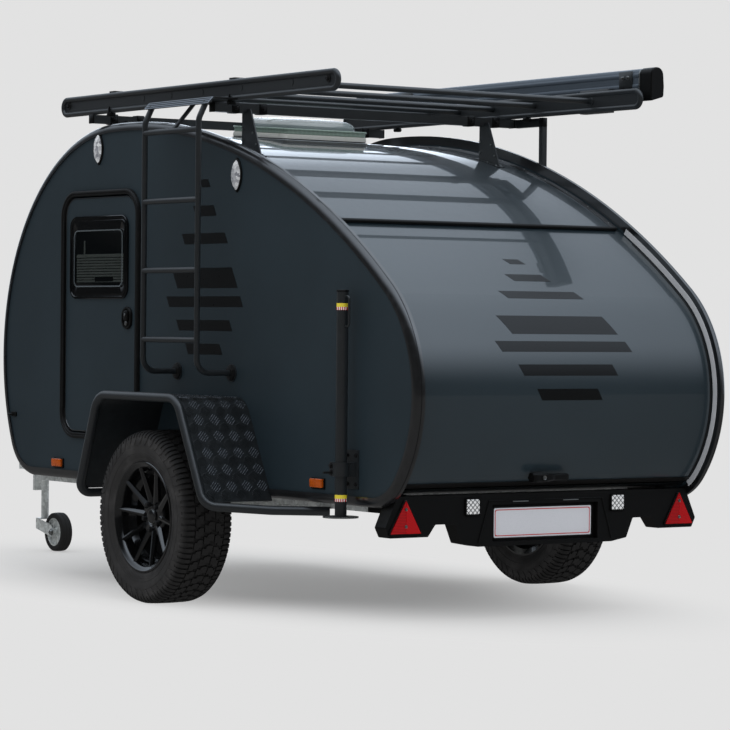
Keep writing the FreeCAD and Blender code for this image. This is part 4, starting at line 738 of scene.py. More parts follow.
@finish("galvanised")
def zinc(look):
    """Hot-dip zinc: flat crystals of many greys, with white bloom in patches."""
    made = Finish("zinc", look.zinc, 0.45, Metallic=0.4)
    flake = made.axes(made.cells(75.0, output=1))[0]
    bloom = made.cloud(19.0, 5.0).ramp(0.5, 0.75)
    colour = made.blend(flake, shade(look.zinc, 0.72), shade(look.zinc, 1.15))
    colour = made.blend(bloom * 0.6, colour, screen(196, 198, 194))
    return made.set(
        Base_Color=colour, Roughness=flake * 0.22 + bloom * 0.2 + 0.3,
        Metallic=0.45 - bloom * 0.3, Normal=made.bump(made.cloud(130.0, 4.0), 0.0004, 0.6))


@finish("galvanised")
def bright_steel(look):
    """Zinc-plated bolts and pins, turned and handled."""
    made = Finish("bright_steel", (0.52, 0.53, 0.52), 0.3, Metallic=1.0)
    return made.set(Roughness=made.cloud(160.0, 4.0) * 0.25 + 0.2,
                    Base_Color=made.blend(made.cloud(70.0).ramp(0.4, 0.7), (0.40, 0.41, 0.41),
                                          (0.60, 0.60, 0.58)))


@finish("black_steel")
def black_bolt(look):
    """Blackened fasteners."""
    made = Finish("black_bolt", (0.02, 0.02, 0.021), 0.36, Metallic=0.4)
    return made.set(Roughness=made.cloud(200.0, 3.0) * 0.2 + 0.28)


@finish("window_acrylic")
def window_tint(look):
    """Dark tinted acrylic that lets a little of the cabin through."""
    made = Finish("window_tint", (0.002, 0.003, 0.0035), 0.04, Specular_IOR_Level=0.3, Alpha=0.5)
    return made.set(Normal=made.bump(made.cloud(3.0, 2.0), 0.0006, 0.4),
                    Roughness=made.cloud(45.0, 4.0) * 0.04 + 0.03)


@finish("window_acrylic")
def pane_rim_highlight(look):
    """The polished edge of an acrylic pane, paler grey than the pane as a painted highlight along
    it.
    """
    made = Finish("pane_rim_highlight", screen(76, 84, 88), 0.18, Coat_Weight=1.0, Coat_IOR=1.8)
    return made.set(Roughness=made.cloud(90.0, 3.0) * 0.1 + 0.14)


@finish("white_plastic")
def blind_slat(look):
    """Pleated window blind, pale grey green."""
    made = Finish("blind_slat", screen(190, 204, 198), 0.6)
    x, _, z = made.axes()
    weave = (x * 1900.0).math("SINE") * 0.5 + (z * 1900.0).math("SINE") * 0.5
    return made.set(Normal=made.bump(weave, 0.0002, 0.5),
                    Base_Color=made.blend(made.cloud(30.0), screen(172, 186, 180),
                                          screen(206, 218, 212)))


@finish("white_plastic")
def roof_white(look):
    """Off-white moulded plastic of the skylight frame."""
    made = Finish("roof_white", screen(214, 217, 212), 0.38)
    dirt = made.cloud(16.0, 6.0, 0.65).ramp(0.55, 0.85)
    return made.set(Base_Color=made.blend(dirt, screen(220, 222, 218), screen(188, 190, 182)),
                    Roughness=dirt * 0.15 + 0.34, Normal=made.bump(made.cloud(500.0, 2.0), 0.0001))


@finish("dome_acrylic")
def roof_lens(look):
    """The greenish clear band of the skylight's lid."""
    made = Finish("roof_lens", screen(140, 162, 152), 0.14, Coat_Weight=0.8)
    x, y, _ = made.axes()
    ribs = made.waves(x + y, 260.0)
    return made.set(
        Base_Color=made.blend(ribs * 0.15, screen(136, 158, 148), screen(176, 192, 184)),
        Normal=made.bump(ribs, 0.0002, 0.4))


@finish("dome_acrylic")
def roof_dome(look):
    """Smoky clear acrylic of the skylight's dome."""
    made = Finish("roof_dome", screen(150, 164, 166), 0.06, Coat_Weight=1.0,
                  Coat_Roughness=0.02, Alpha=0.62)
    return made.set(Base_Color=made.blend(made.cloud(2.5, 3.0), screen(120, 136, 140),
                                          screen(176, 188, 190)),
                    Roughness=made.cloud(26.0, 4.0) * 0.08 + 0.04)


@finish("galvanised")
def flange_metal(look):
    """Brushed grey metal flange."""
    made = Finish("flange_metal", (0.40, 0.42, 0.42), 0.35, Metallic=0.9)
    x, y, z = made.axes()
    lines = made.cloud(240.0, 3.0, vector=made.vector(x * 0.05, y, z))
    return made.set(Roughness=lines * 0.2 + 0.26, Base_Color=made.blend(
        lines, (0.34, 0.36, 0.36), (0.48, 0.50, 0.50)))


@finish("dome_acrylic")
def amber_lens(look):
    """Amber lens with fine upright flutes inside."""
    made = Finish("amber_lens", look.amber, 0.16, Coat_Weight=1.0)
    flutes = made.waves(made.axes()[0], 1250.0)
    return made.set(Base_Color=made.blend(flutes * 0.7, look.amber, shade(look.amber, 0.5)),
                    Normal=made.bump(flutes, 0.0005, 0.6))


@finish("reflector_red")
def red_lens(look):
    """Moulded red reflector: small prisms that slant on one half and lie level on the other."""
    made = Finish("red_lens", look.red, 0.35, Specular_IOR_Level=0.2)
    _, y, z = made.axes()
    field = ((0.707 - y.swing()) * y.math("SIGN")).over(0.0)
    slant = (y * 900.0 + z * 520.0).math("SINE")
    flat = (z * 1040.0).math("SINE")
    prisms = (slant * field + flat * (1.0 - field)) * 0.5 + 0.5
    colour = made.blend(prisms * 0.8 + field * 0.3, shade(look.red, 0.55), shade(look.red, 1.3))
    return made.set(Base_Color=colour, Normal=made.bump(prisms, 0.0006, 0.7))


DIAMOND = 0.0210      # width of one diamond of the lamps' reflector


@finish("lamp_clear")
def clear_lens(look):
    """Clear lamp lens over a bright reflector cut in diamonds."""
    made = Finish("clear_lens", screen(206, 208, 210), 0.1, Coat_Weight=1.0)
    _, y, z = made.axes()
    one = ((y + z) / DIAMOND).rest(1.0) - 0.5
    two = ((y - z) / DIAMOND).rest(1.0) - 0.5
    cut = one.swing().math("MAXIMUM", two.swing()) * 2.0
    colour = made.blend(cut.ramp(0.62, 0.90), screen(250, 251, 252), screen(70, 72, 74))
    return made.set(Base_Color=colour, Normal=made.bump(cut, 0.003, 0.8))


@finish("lamp_clear")
def porch_lens(look):
    """Clear porch lens with coarse facets."""
    made = Finish("porch_lens", screen(200, 202, 206), 0.08, Coat_Weight=1.0)
    facet = made.cells(70.0)
    tint = made.axes(made.cells(70.0, output=1))[0]
    return made.set(Base_Color=made.blend(tint, screen(238, 240, 242), screen(128, 130, 138)),
                    Normal=made.bump(facet, 0.004, 0.8))


@finish()
def plate_white(look):
    """Reflective sheeting of the blank plate, finely honeycombed."""
    made = Finish("plate_white", screen(214, 216, 222), 0.3, Coat_Weight=0.4)
    comb = made.cells(420.0)
    return made.set(Base_Color=made.blend(comb, screen(222, 224, 230), screen(200, 202, 210)),
                    Normal=made.bump(comb, 0.0001, 0.4))


@finish("plate_white")
def plate_red(look):
    """Red paint of the plate's border."""
    made = Finish("plate_red", screen(196, 44, 52), 0.35)
    return made.set(Roughness=made.cloud(200.0) * 0.15 + 0.28)


@finish("black_steel")
def band_yellow(look):
    """Yellow tape."""
    made = Finish("band_yellow", screen(226, 206, 40), 0.35)
    return made.set(
        Base_Color=made.blend(made.cloud(60.0), screen(216, 194, 30),
                              screen(236, 218, 66)), Roughness=made.cloud(120.0) * 0.2 + 0.28)


@finish("black_steel")
def band_red(look):
    """Red and pale tape, in short blocks round the tube."""
    made = Finish("band_red", screen(190, 40, 44), 0.35)
    x, y, _ = made.axes()
    block = ((x + y) / 0.012).rest(1.0).over(0.5)
    return made.set(Base_Color=made.blend(block, screen(190, 40, 44), screen(226, 218, 214)))


@finish("trim_black")
def decal_black(look):
    """Cut black film, smoother than the paint under it."""
    made = Finish("decal_black", (0.0035, 0.004, 0.0045), 0.3, Specular_IOR_Level=0.4)
    return made.set(Roughness=made.cloud(80.0, 3.0) * 0.12 + 0.24)


@finish("awning_black")
def anodised_black(look):
    """Black anodised extrusion with fine draw lines along it, on a paler grey-blue base that is a
    painted reflection of the sky.
    """
    made = Finish("anodised_black", look.anodised, 0.34, Metallic=0.35)
    x, y, z = made.axes()
    drawn = made.cloud(700.0, 3.0, vector=made.vector(x * 0.01, y, z))
    return made.set(Roughness=drawn * 0.2 + 0.28, Base_Color=made.blend(
        drawn, shade(look.anodised, 0.8), shade(look.anodised, 1.4)),
        Normal=made.bump(drawn, 0.0002, 0.4))


@finish()
def birch_ply(look):
    """Clear-lacquered birch ply, its grain running across the trailer."""
    made = Finish("birch_ply", screen(212, 184, 142), 0.4, Coat_Weight=0.3)
    x, y, z = made.axes()
    grain = made.cloud(26.0, 6.0, 0.65, vector=made.vector(x, y * 0.08, z))
    line = made.cloud(190.0, 4.0, vector=made.vector(x, y * 0.03, z))
    colour = made.blend(grain.ramp(0.35, 0.7), screen(222, 196, 156), screen(188, 154, 108))
    return made.set(Base_Color=made.blend(line * 0.35, colour, screen(150, 116, 76)),
                    Normal=made.bump(line, 0.0002, 0.5))


@finish("mattress_fabric")
def mattress_cloth(look):
    """Plain woven cover: two crossed sets of threads."""
    made = Finish("mattress_cloth", screen(112, 116, 122), 0.85, Sheen_Weight=0.3)
    x, y, z = made.axes()
    warp = ((x + z) * 2600.0).math("SINE")
    weft = ((y + z) * 2600.0).math("SINE")
    weave = warp * weft * 0.5 + 0.5
    return made.set(Base_Color=made.blend(weave, screen(96, 100, 106), screen(132, 136, 142)),
                    Normal=made.bump(weave, 0.0005, 0.7))


@finish("tread_plate")
def tread_black(look):
    """Black-coated tread plate, unevenly worn."""
    made = Finish("tread_black", look.coat, 0.42, Specular_IOR_Level=0.6)
    wear = made.cloud(34.0, 5.0).ramp(0.4, 0.75)
    return made.set(Base_Color=made.blend(wear, shade(look.coat, 0.8), shade(look.coat, 1.2)),
                    Roughness=wear * 0.12 + 0.36, Normal=made.bump(made.cells(900.0), 0.0001, 0.4))


@finish("tread_plate")
def tread_bar_highlight(look):
    """The raised bars of the tread plate, smoother, in a pale grey that is a painted highlight,
    patchy with wear.
    """
    made = Finish("tread_bar_highlight", look.bar, 0.3, Specular_IOR_Level=0.8)
    wear = made.cloud(60.0, 4.0).ramp(0.35, 0.7)
    return made.set(Base_Color=made.blend(wear, shade(look.bar, 0.7), shade(look.bar, 1.3)),
                    Roughness=wear * 0.12 + 0.24)


# ---- What the operators share ----

def ball(centre, radius, steps=10):
    """A sphere turned from a half circle: radius * (sin a, cos a)."""
    turn = np.linspace(0, math.pi, steps // 2 + 2)
    return lathe(radius * np.stack([np.sin(turn), np.cos(turn)], 1), centre, "Z", steps)


def oblongs(x, z, rows, steps=8):
    """Rounded rectangles for stepped and framed, from rows (length, height, corner, level)."""
    return [(oblong(x, z, long, tall, radius, steps), level) for long, tall, radius, level in rows]


def corners(node):
    """A node's low corner, high corner and middle."""
    low, high = (np.array(c, float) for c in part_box(node))
    return low, high, (low + high) / 2


def both(stem, shapes, finish, body="trailer", stands_for=(), **more):
    """A piece on the left and its mirror image on the right, where %s is the side."""
    for side, made in (("left", shapes), ("right", [other_side(s) for s in shapes])):
        piece("%s_%s" % (stem, side), made, finish, body.replace("%s", side),
              stands_for=["%s_%s" % (node, side) for node in stands_for], **more)


class Fitting:
    """An operator that makes one group of the trailer's pieces."""
    bl_options = {"REGISTER", "UNDO"}

    def execute(self, context):
        self.make(context.scene)
        return {"FINISHED"}


def joint_at(name):
    """The point that a joint turns about."""
    return next(np.array(joint["pos_m"]) for joint in frame["joints"] if joint["name"] == name)


# ---- Wheels ----

class TrailerWheels(bpy.types.PropertyGroup):
    """Tread blocks and spokes"""
    pitches: count_of("Pitches", "Tread blocks round the tyre", 46, 12)
    block: length_of("Block height", "How far the tread stands off the carcass", 0.008)
    spokes: count_of("Spokes", "Spokes of the cast wheel", 10, 3)


WHEEL_AT = corners("tyre_left")[2]
BEAD_AT = 0.2485      # length of the tyre's section from its crown to a bead
# Half the tyre's carcass from crown to bead: across, radius.
CARCASS = np.array([(0, .3605), (.040, .3602), (.080, .3585), (.097, .3555), (.110, .347),
                    (.118, .335), (.1215, .318), (.1225, .300), (.121, .280), (.116, .258),
                    (.108, .240), (.1035, .232), (.1005, .2165)])


def carcass(along):
    """The tyre's skin at lengths along its section from the crown.

    Returns across and radius, and the outward normal as the heading turned a quarter.
    """
    whole = flowing(np.concatenate([CARCASS[:0:-1] * (-1, 1), CARCASS]), 121)
    length = lengths(whole)
    length -= length[60]
    way = headings(whole)
    across, radius = (np.interp(along, length, whole[:, i]) for i in (0, 1))
    return across, radius, -np.interp(along, length, way[:, 1]), np.interp(along, length, way[:, 0])


def lugs(rows, count, shift=0.0, side=1, draw=0.0012):
    """Blocks round the tyre, one to each pitch.

    A row is (length along the section, left edge, right edge, height), the edges in shares
    of a pitch.  Each point is carcass + height * normal, turned by
    (pitch + share) * 2 pi / count; the top draws in on each side.
    """
    along, left, right, high = np.array(rows, float).T
    across, radius, out_across, out_radius = carcass(along)
    draw = draw * count / (2 * math.pi * CARCASS[0, 1])
    share = np.stack([left, left + draw, right - draw, right], 1)
    base = np.full_like(high, -0.003)
    lift = np.stack([base, high, high, base], 1)
    turn = (np.arange(count)[:, None, None] + shift + share) * 2 * math.pi / count
    far = radius[:, None] + lift * out_radius[:, None]
    wide = (across[:, None] + lift * out_across[:, None]) * side
    points = np.stack([far * np.cos(turn), np.broadcast_to(wide, turn.shape),
                       far * np.sin(turn)], -1)
    return [capped(block + WHEEL_AT) for block in points]


def tyre_ring(along):
    """A raised ring on the sidewalls: a small trapezium turned about the axle."""
    wide, high = .0022, .0013
    across, radius, out_across, out_radius = carcass(along + wide * np.array([-1, -0.6, 0.6, 1]))
    lift = np.array([-0.001, high, high, -0.001])
    section = np.stack([radius + lift * out_radius, across + lift * out_across], 1)
    return lathe(section, WHEEL_AT, "Y", 128, closed=True)


class TRAILER_OT_tyres(Fitting, bpy.types.Operator):
    """All-terrain tyres with interlocking blocks, shoulder lugs and ribbed plain sidewalls"""
    bl_idname = "trailer.tyres"
    bl_label = "Tyres"

    def make(self, scene):
        wheels = scene.trailer_wheels
        count, high = wheels.pitches, wheels.block
        across, radius, *_ = carcass(np.linspace(-BEAD_AT, BEAD_AT, 75))
        body = [lathe(np.stack([radius, across], 1), WHEEL_AT, "Y", 128, closed=True)]
        middle = [(-.0240, .08, .74), (-.0085, .02, .68), (-.0065, .02, .88), (.0065, .13, .98),
                  (.0085, .33, .98), (.0240, .27, .92)]
        body += lugs([(*row, high) for row in middle], count)
        flank = [(.0295, .04, .78), (.0425, .02, .72), (.0445, .02, .91), (.0530, .11, .97),
                 (.0550, .30, .98), (.0665, .25, .95)]
        shoulder = [(.0725, .14, .84, high), (.088, .10, .86, high),
                    (.102, .12, .88, high * 0.95), (.1130, .14, .86, high * 0.85),
                    (.1220, .18, .80, high * 0.6), (.1300, .26, .74, .002)]
        claw = [(.127, .05, .88, .0026), (.139, .12, .82, .0032), (.149, .26, .68, .0030),
                (.156, .40, .56, .0016)]
        rib = [(.197, .3, .7, .0002), (.200, .3, .7, .0010), (.214, .3, .7, .0010),
               (.217, .3, .7, .0002)]
        for side, shift in ((1, 0.5), (-1, 0.15)):
            body += lugs([(*row, high) for row in flank], count, shift, side)
            body += lugs(shoulder, count * 2, shift, side)
            body += lugs(claw, count, shift + 0.3, side)
            body += lugs(rib, 150, 0, side, draw=0.0003)
        for along in (.1585, .190, .228):
            body += [tyre_ring(along), tyre_ring(-along)]
        both("tyre_tread", body, tyre_rubber(), "wheel_%s", stands_for=["tyre"], smooth=32)


class TRAILER_OT_rims(Fitting, bpy.types.Operator):
    """Dished gloss wheels with thin ridged spokes, wheel nuts, a plain cap and a dark disc behind
    the spokes as painted shade
    """
    bl_idname = "trailer.rims"
    bl_label = "Rims"

    def make(self, scene):
        spokes = scene.trailer_wheels.spokes
        barrel = [(.2360, .1050), (.2360, .1095), (.2335, .1120), (.2285, .1120), (.2235, .1080),
                  (.2150, .1045), (.2100, .0990), (.2060, .0860), (.2050, .0600), (.1950, .0420),
                  (.1830, .0300), (.1830, -.0300), (.1960, -.0700), (.2050, -.0980),
                  (.2285, -.1120), (.2360, -.1095), (.2360, -.1050), (.2155, -.1010),
                  (.2155, -.0700), (.1960, -.0450), (.1900, .0200), (.2020, .0500),
                  (.2155, .0620), (.2155, .1005)]
        shapes = [lathe(barrel, WHEEL_AT, "Y", 128, closed=True)]
        hub = [(0, .0375), (.078, .0375), (.086, .0420), (.088, .0500), (.084, .0570),
               (.070, .0600), (.044, .0605), (.038, .0560), (.034, .0560), (.033, .0620),
               (0, .0620)]
        shapes.append(lathe(hub, WHEEL_AT, "Y", 96))
        shapes += spun([self.spoke()], WHEEL_AT, spokes, first=0.21)
        # Painted shade: a dull black disc behind the spokes darkens the inside of the wheel.
        shade_disc = lathe([(.060, -.026), (.1825, -.026), (.1825, -.020), (.150, -.018), (.060, -.018)],
                     WHEEL_AT, "Y", 64, closed=True)
        both("wheel_drum", [shade_disc], rubber_black(), "wheel_%s", slot="black_steel")
        both("wheel_casting", shapes, wheel_gloss(), "wheel_%s", stands_for=["rim"], smooth=30)
        ways = np.arange(5) * 2 * math.pi / 5 + 0.5
        nuts = [nut(WHEEL_AT + (0.056 * math.sin(way), 0.0605, 0.056 * math.cos(way)), .0105, .016)
                for way in ways]
        both("wheel_nuts", nuts, black_bolt(), "wheel_%s")
        cap = lathe([(0, .0625), (.0285, .0625), (.0285, .0655), (.026, .0685), (.012, .0700),
                     (0, .0702)], WHEEL_AT, "Y", 48)
        both("wheel_cap", [cap], wheel_gloss(), "wheel_%s")
        band = lathe([(.0288, .0625), (.0310, .0625), (.0310, .0668), (.0300, .0675),
                      (.0288, .0668)], WHEEL_AT, "Y", 64, closed=True)
        valve = shifted(tube([(0, .082, .196), (0, .098, .190)], .0035, 8), WHEEL_AT)
        both("wheel_cap_band", [band, valve], bright_steel(), "wheel_%s")

    def spoke(self):
        """One blade: a ridged section that narrows and rises in a straight line from hub to rim."""
        t = np.linspace(0, 1, 10)[:, None]
        radius = .060 + .152 * t
        level = .056 + .038 * t
        half = .0165 - .0070 * t ** 0.7
        deep = .020 - .006 * t
        side = np.array([-1, -1, -0.15, 0.45, 1, 1, 0.6, -0.6])
        ridge = np.array([0, 0, 1, 1, 0, 0, 0, 0]) * half * .75
        rise = ridge + np.array([-.35, -.05, 0, 0, -.12, -.5, -1, -1]) * deep
        points = np.stack([half * side, level + rise, np.broadcast_to(radius, rise.shape)], -1)
        return capped(points + WHEEL_AT)


# ---- Shell ----

class TrailerBody(bpy.types.PropertyGroup):
    """Screws and stripes of the shell"""
    screw_step: length_of("Screw spacing", "Between the screws along the roof edges", 0.165)
    bar_tall: length_of("Stripe height", "Height of one slanted stripe", 0.070)


def strip(section, course, start, end, steps=90):
    """A closed (across, lift) section carried along a course between two lengths."""
    along = np.linspace(start, end, steps)
    return capped(np.stack([on_course(course, along, across, lift) for across, lift in section], 1))


def shell_strip(section, start, end, steps=90):
    """A closed (across, lift) section carried along the body's bent shell."""
    return strip(section, SKIN, start, end, steps)


def slanted(x, z, long, tall):
    """A parallelogram about its centre, leaning forward."""
    lean = tall * LEAN
    return np.array([(x - (long + lean) / 2, z - tall / 2), (x + (long - lean) / 2, z - tall / 2),
                     (x + (long + lean) / 2, z + tall / 2), (x - (long - lean) / 2, z + tall / 2)])


# Stripes from the lowest up: height in the stack, length and height as shares.
EMBLEM = ((0.00, .40, .66), (0.12, .62, .66), (0.24, .86, .66), (0.36, .70, 1.25), (0.56, .50, .66),
          (0.70, .24, .66), (0.84, .10, .5))
LEAN = 0.55      # how far a stripe leans forward for its height


class TRAILER_OT_shell(Fitting, bpy.types.Operator):
    """Body panels, edge mouldings, roof edge strips, emblem stripes and the walls' fittings"""
    bl_idname = "trailer.shell"
    bl_label = "Shell"

    def make(self, scene):
        look = scene.trailer_body
        paint(wall_paint(), *pair("side_wall"))
        paint(gloss_paint(), "roof_shell", "hatch_panel")
        paint(trim_black(), *pair("edge_trim"))
        paint(moulded_black(), "hatch_hinge")
        paint(powder_black(), "floor_panel")
        edge = corners("roof_shell")[1][1]
        start, end = reach(-1.655), SKIN[0][-1] - 0.62
        ribs = [(edge - .001, .0002), (edge - .001, .0050)]
        for middle in (.007, .014, .021):
            ribs += [(edge - middle + .0020, .0052), (edge - middle + .0010, .0030),
                     (edge - middle - .0010, .0030), (edge - middle - .0020, .0052)]
        ribs += [(edge - .0290, .0030), (edge - .0300, .0002)]
        both("roof_edge_strip", [shell_strip(ribs, start, end)], trim_black(), smooth=30)
        places = np.arange(start + 0.05, end, look.screw_step)
        heads = [ball(at, .0032) for at in on_shell(places, edge - .0140, .0040)]
        both("roof_edge_screws", heads, bright_steel())
        round_y = corners("edge_trim_left")[1][1] - .0215
        line, out = side_line(0.0, 60)
        path = np.stack([line[:, 0], np.full(len(line), round_y), line[:, 1]], 1)
        path += np.stack([out[:, 0], 0 * out[:, 0], out[:, 1]], 1) * -.0022
        bead = tube(path[apart(path, 1e-4)], .0016, 8, up=(0, 1, 0))
        both("edge_trim_bead", [bead], moulded_black(), slot="trim_black")
        self.emblems(look)
        self.hatch_edges()

    def emblems(self, look):
        """Stacked slanted stripes on both walls and on the hatch, in cut black film."""
        wall = corners("side_wall_left")[1][1]
        low, high, long = 1.02, 1.87, 0.70
        shapes = []
        for at, share, tall in EMBLEM:
            outline = slanted(-0.75, low + (high - low) * (at + .07), long * share,
                              look.bar_tall * tall)
            shapes.append(prism(outline, wall - .0002, wall + .0006, "Y"))
        both("wall_emblem", shapes, decal_black())
        bars = []
        start, end = height_at(0.86), height_at(1.50)
        for at, share, tall in EMBLEM:
            middle, half = start + (end - start) * (at + .07), look.bar_tall * tall * 0.5
            rows = np.linspace(-half, half, 5)
            long = 0.78 * share / 2
            edges = np.stack([rows * LEAN - long, rows * LEAN + long], 1)
            places = np.repeat(middle + rows, 2).reshape(5, 2)
            face, back = on_shell(places, edges, .0006), on_shell(places, edges, -.0004)
            bars.append(capped(np.concatenate([face, back[:, ::-1]], 1)))
        piece("hatch_emblem", bars, decal_black(), "hatch")

    def hatch_edges(self):
        """The hatch's rubber lip along its lower edge and its two sides, and beside each side a
        pale strip that is a painted reflection of the sky.
        """
        half = corners("hatch_panel")[1][1]
        low = height_at(0.547)
        high = height_at(1.55)
        lip = [(-half, -.004), (-half, .0035), (half, .0035), (half, -.004)]
        piece("hatch_lip", [shell_strip(lip, low, low + .028, 4)], rubber_black(), "hatch",
              slot="trim_black")
        # Painted reflection: a pale strip beside each side of the hatch stands for the sky seen in
        # the edge there.
        rail = [(half + .0045, .004), (half + .0045, .028), (half + .0065, .029),
                (half + .0065, .003)]
        both("hatch_rail_reflection", [shell_strip(rail, low, high + .08)], rail_sky_reflection())
        side = [(half - .008, -.002), (half - .008, .0012), (half - .001, .0022),
                (half + .0006, -.002)]
        mirrored = [(-across, lift) for across, lift in side[::-1]]
        seals = [shell_strip(line, low, high) for line in (side, mirrored)]
        piece("hatch_side_seal", seals, rubber_black(), "hatch", slot="trim_black")


# ---- Doors ----

class TrailerDoors(bpy.types.PropertyGroup):
    """The window blinds"""
    slats: count_of("Slats", "Slats of the window blind", 9, 2)
    slat_step: length_of("Slat spacing", "From one slat to the next", 0.0125)


class TRAILER_OT_doors(Fitting, bpy.types.Operator):
    """Doors with their double seal, hinge strip, hopper window, blind and latch"""
    bl_idname = "trailer.doors"
    bl_label = "Doors"

    def make(self, scene):
        look = scene.trailer_doors
        paint(wall_paint(), *pair("door"))
        self.seal()
        self.hinge()
        self.window(look)
        self.latch()

    def seal(self):
        """A double lip round the opening and a bead round the door's edge."""
        low, high, middle = corners("door_frame_left")
        long, tall = high[0] - low[0], high[2] - low[2]
        base, top, width = low[1], high[1], .026

        def line(inset, radius):
            """The opening's outline drawn in by an inset."""
            return oblong(middle[0], middle[2], long - 2 * inset, tall - 2 * inset, radius, 10)

        rings = [(line(0, .120), base), (line(0, .120), top - .007),
                 (line(.003, .117), top - .002), (line(.008, .112), top),
                 (line(.013, .107), top - .001), (line(.0155, .1045), top - .005),
                 (line(.0175, .1025), top - .005), (line(.019, .101), top - .0025),
                 (line(.023, .097), top - .003), (line(width, .094), top - .008),
                 (line(width, .094), base)]
        both("door_seal", [framed(rings)], rubber_black(), slot="trim_black",
             stands_for=["door_frame"])
        low, high, middle = corners("door_left")
        long, tall, face = high[0] - low[0], high[2] - low[2], high[1]
        edge = oblongs(middle[0], middle[2], [
            (long - .002, tall - .002, .086, face - .001),
            (long - .003, tall - .003, .0855, face + .0022),
            (long - .009, tall - .009, .0825, face + .0022),
            (long - .012, tall - .012, .081, face - .001)], 10)
        both("door_edge_bead", [framed(edge)], trim_black(), "door_%s")

    def hinge(self):
        """Knuckles in nine lengths on the hinge line."""
        low, high, _ = corners("door_left")
        axis = joint_at("door_left_hinge")
        knuckles = []
        ends = np.linspace(low[2] + .10, high[2] - .10, 10)
        for start, end in zip(ends[:-1], ends[1:]):
            knuckles.append(disc((axis[0], axis[1], 0), .0062, start, end - .004, "Z", .0008, 16))
        both("door_hinge", knuckles, moulded_black(), slot="trim_black")

    def window(self, look):
        """A frame round an acrylic pane, with the lowered blind and the stay behind it, and behind
        them a dark sheet as painted shade of the cabin.
        """
        low, high, middle = corners("door_window_left")
        long, tall, base, top = high[0] - low[0], high[2] - low[2], low[1], high[1]

        def line(rear, front, foot, head, radius):
            """The window's outline drawn in by its own inset on each side."""
            return oblong(middle[0] + (rear - front) / 2, middle[2] + (foot - head) / 2,
                          long - rear - front, tall - foot - head, radius, 8)

        def even(inset, radius):
            """The frame's outline drawn in evenly."""
            return line(inset, inset, .008 + inset, inset, radius)

        def pane(grow, radius):
            """The pane's outline moved out evenly."""
            return line(.039 - grow, .049 - grow, .065 - grow, .067 - grow, radius)

        rings = [(even(0, .052), base), (even(0, .052), top - .006),
                 (even(.003, .049), top - .0032), (even(.009, .043), top - .0032),
                 (even(.012, .040), top - .007), (even(.018, .034), top - .007),
                 (even(.021, .031), top - .0045), (pane(.004, .030), top - .0045),
                 (pane(0, .028), top - .008), (pane(0, .028), base)]
        both("window_frame", [framed(rings)], gloss_black(), "door_%s", stands_for=["door_window"])
        glass = prism(pane(.002, .030), top - .0030, top - .0008, "Y", .0006)
        both("window_pane", [glass], window_tint(), "door_%s")
        # Painted shade: a dark sheet at the back of the window stands for the unlit cabin.
        back = prism(pane(-.0006, .0275), base + .0002, base + .0008, "Y")
        both("window_back_shade", [back], rubber_black(), "door_%s")
        # Painted highlight: the pane's rim takes a paler grey finish.
        rim = [(pane(.004, .032), top - .0030), (pane(.004, .032), top - .0004),
               (pane(-.0005, .028), top), (pane(-.0015, .027), top - .0005),
               (pane(-.0015, .027), top - .0030)]
        both("window_rim", [framed(rim)], pane_rim_highlight(), "door_%s")
        left, right, foot = low[0] + .043, high[0] - .054, low[2] + .083
        slats = [slab((left, base + .0010, foot + i * look.slat_step),
                      (right, base + .0034, foot + (i + .72) * look.slat_step), .0006)
                 for i in range(look.slats)]
        slats.append(slab((left, base + .0010, foot + look.slats * look.slat_step),
                          (right, base + .0050, foot + (look.slats + 1.2) * look.slat_step), .0012))
        slats.append(slab((high[0] - .134, base + .0036, foot + .112),
                          (high[0] - .122, base + .0052, high[2] - .112), .0006))
        both("window_blind", slats, blind_slat(), "door_%s")
        stay = prism(oblong(low[0] + .213, low[2] + .096, .165, .020, .008, 4), base + .0036,
                     base + .0056, "Y")
        both("window_stay", [stay], rubber_black(), "door_%s")

    def latch(self):
        """An oval rose with a sunk paddle and a bright key barrel."""
        low, high, middle = corners("door_handle_left")
        x, z, base, top = middle[0], middle[2], low[1], high[1]
        rose = oblongs(x, z, [(.084, .100, .040, base), (.084, .100, .040, base + .006),
                              (.078, .094, .037, base + .010), (.064, .080, .030, base + .010),
                              (.060, .076, .028, base + .004)])
        paddle = oblongs(x, z + .010, [
            (.040, .048, .014, base + .004), (.040, .048, .014, base + .012),
            (.034, .042, .012, base + .0145)])
        both("door_latch", [stepped(rose), stepped(paddle)], moulded_black(), "door_%s",
             stands_for=["door_handle"])
        key = [disc((x, 0, z - .024), .0095, base + .004, base + .013),
               disc((x, 0, z + .014), .0055, base + .0145, top - .002)]
        slot = slab((x - .0008, base + .0125, z - .030), (x + .0008, base + .0135, z - .018), .0002)
        both("door_key", key, bright_steel(), "door_%s")
        both("door_keyway", [slot], black_bolt(), "door_%s")


# ---- Fenders ----

class TrailerFenders(bpy.types.PropertyGroup):
    """The bent tube and its tread plate"""
    step: length_of("Tread spacing", "Between groups of raised bars", 0.076)
    bar: length_of("Bar length", "Length of one raised bar", 0.046)
    bend: length_of("Bend", "Bend radius of the tube's upper corners", 0.100)
    tube: length_of("Tube", "Radius of the tube", 0.019)


# Where the tube's runs would meet, from the front lower corner to the rear one: X, Z.
FENDER_CORNERS = np.array([(-.265, .443), (-.429, .878), (-1.088, .878), (-1.310, .442)])


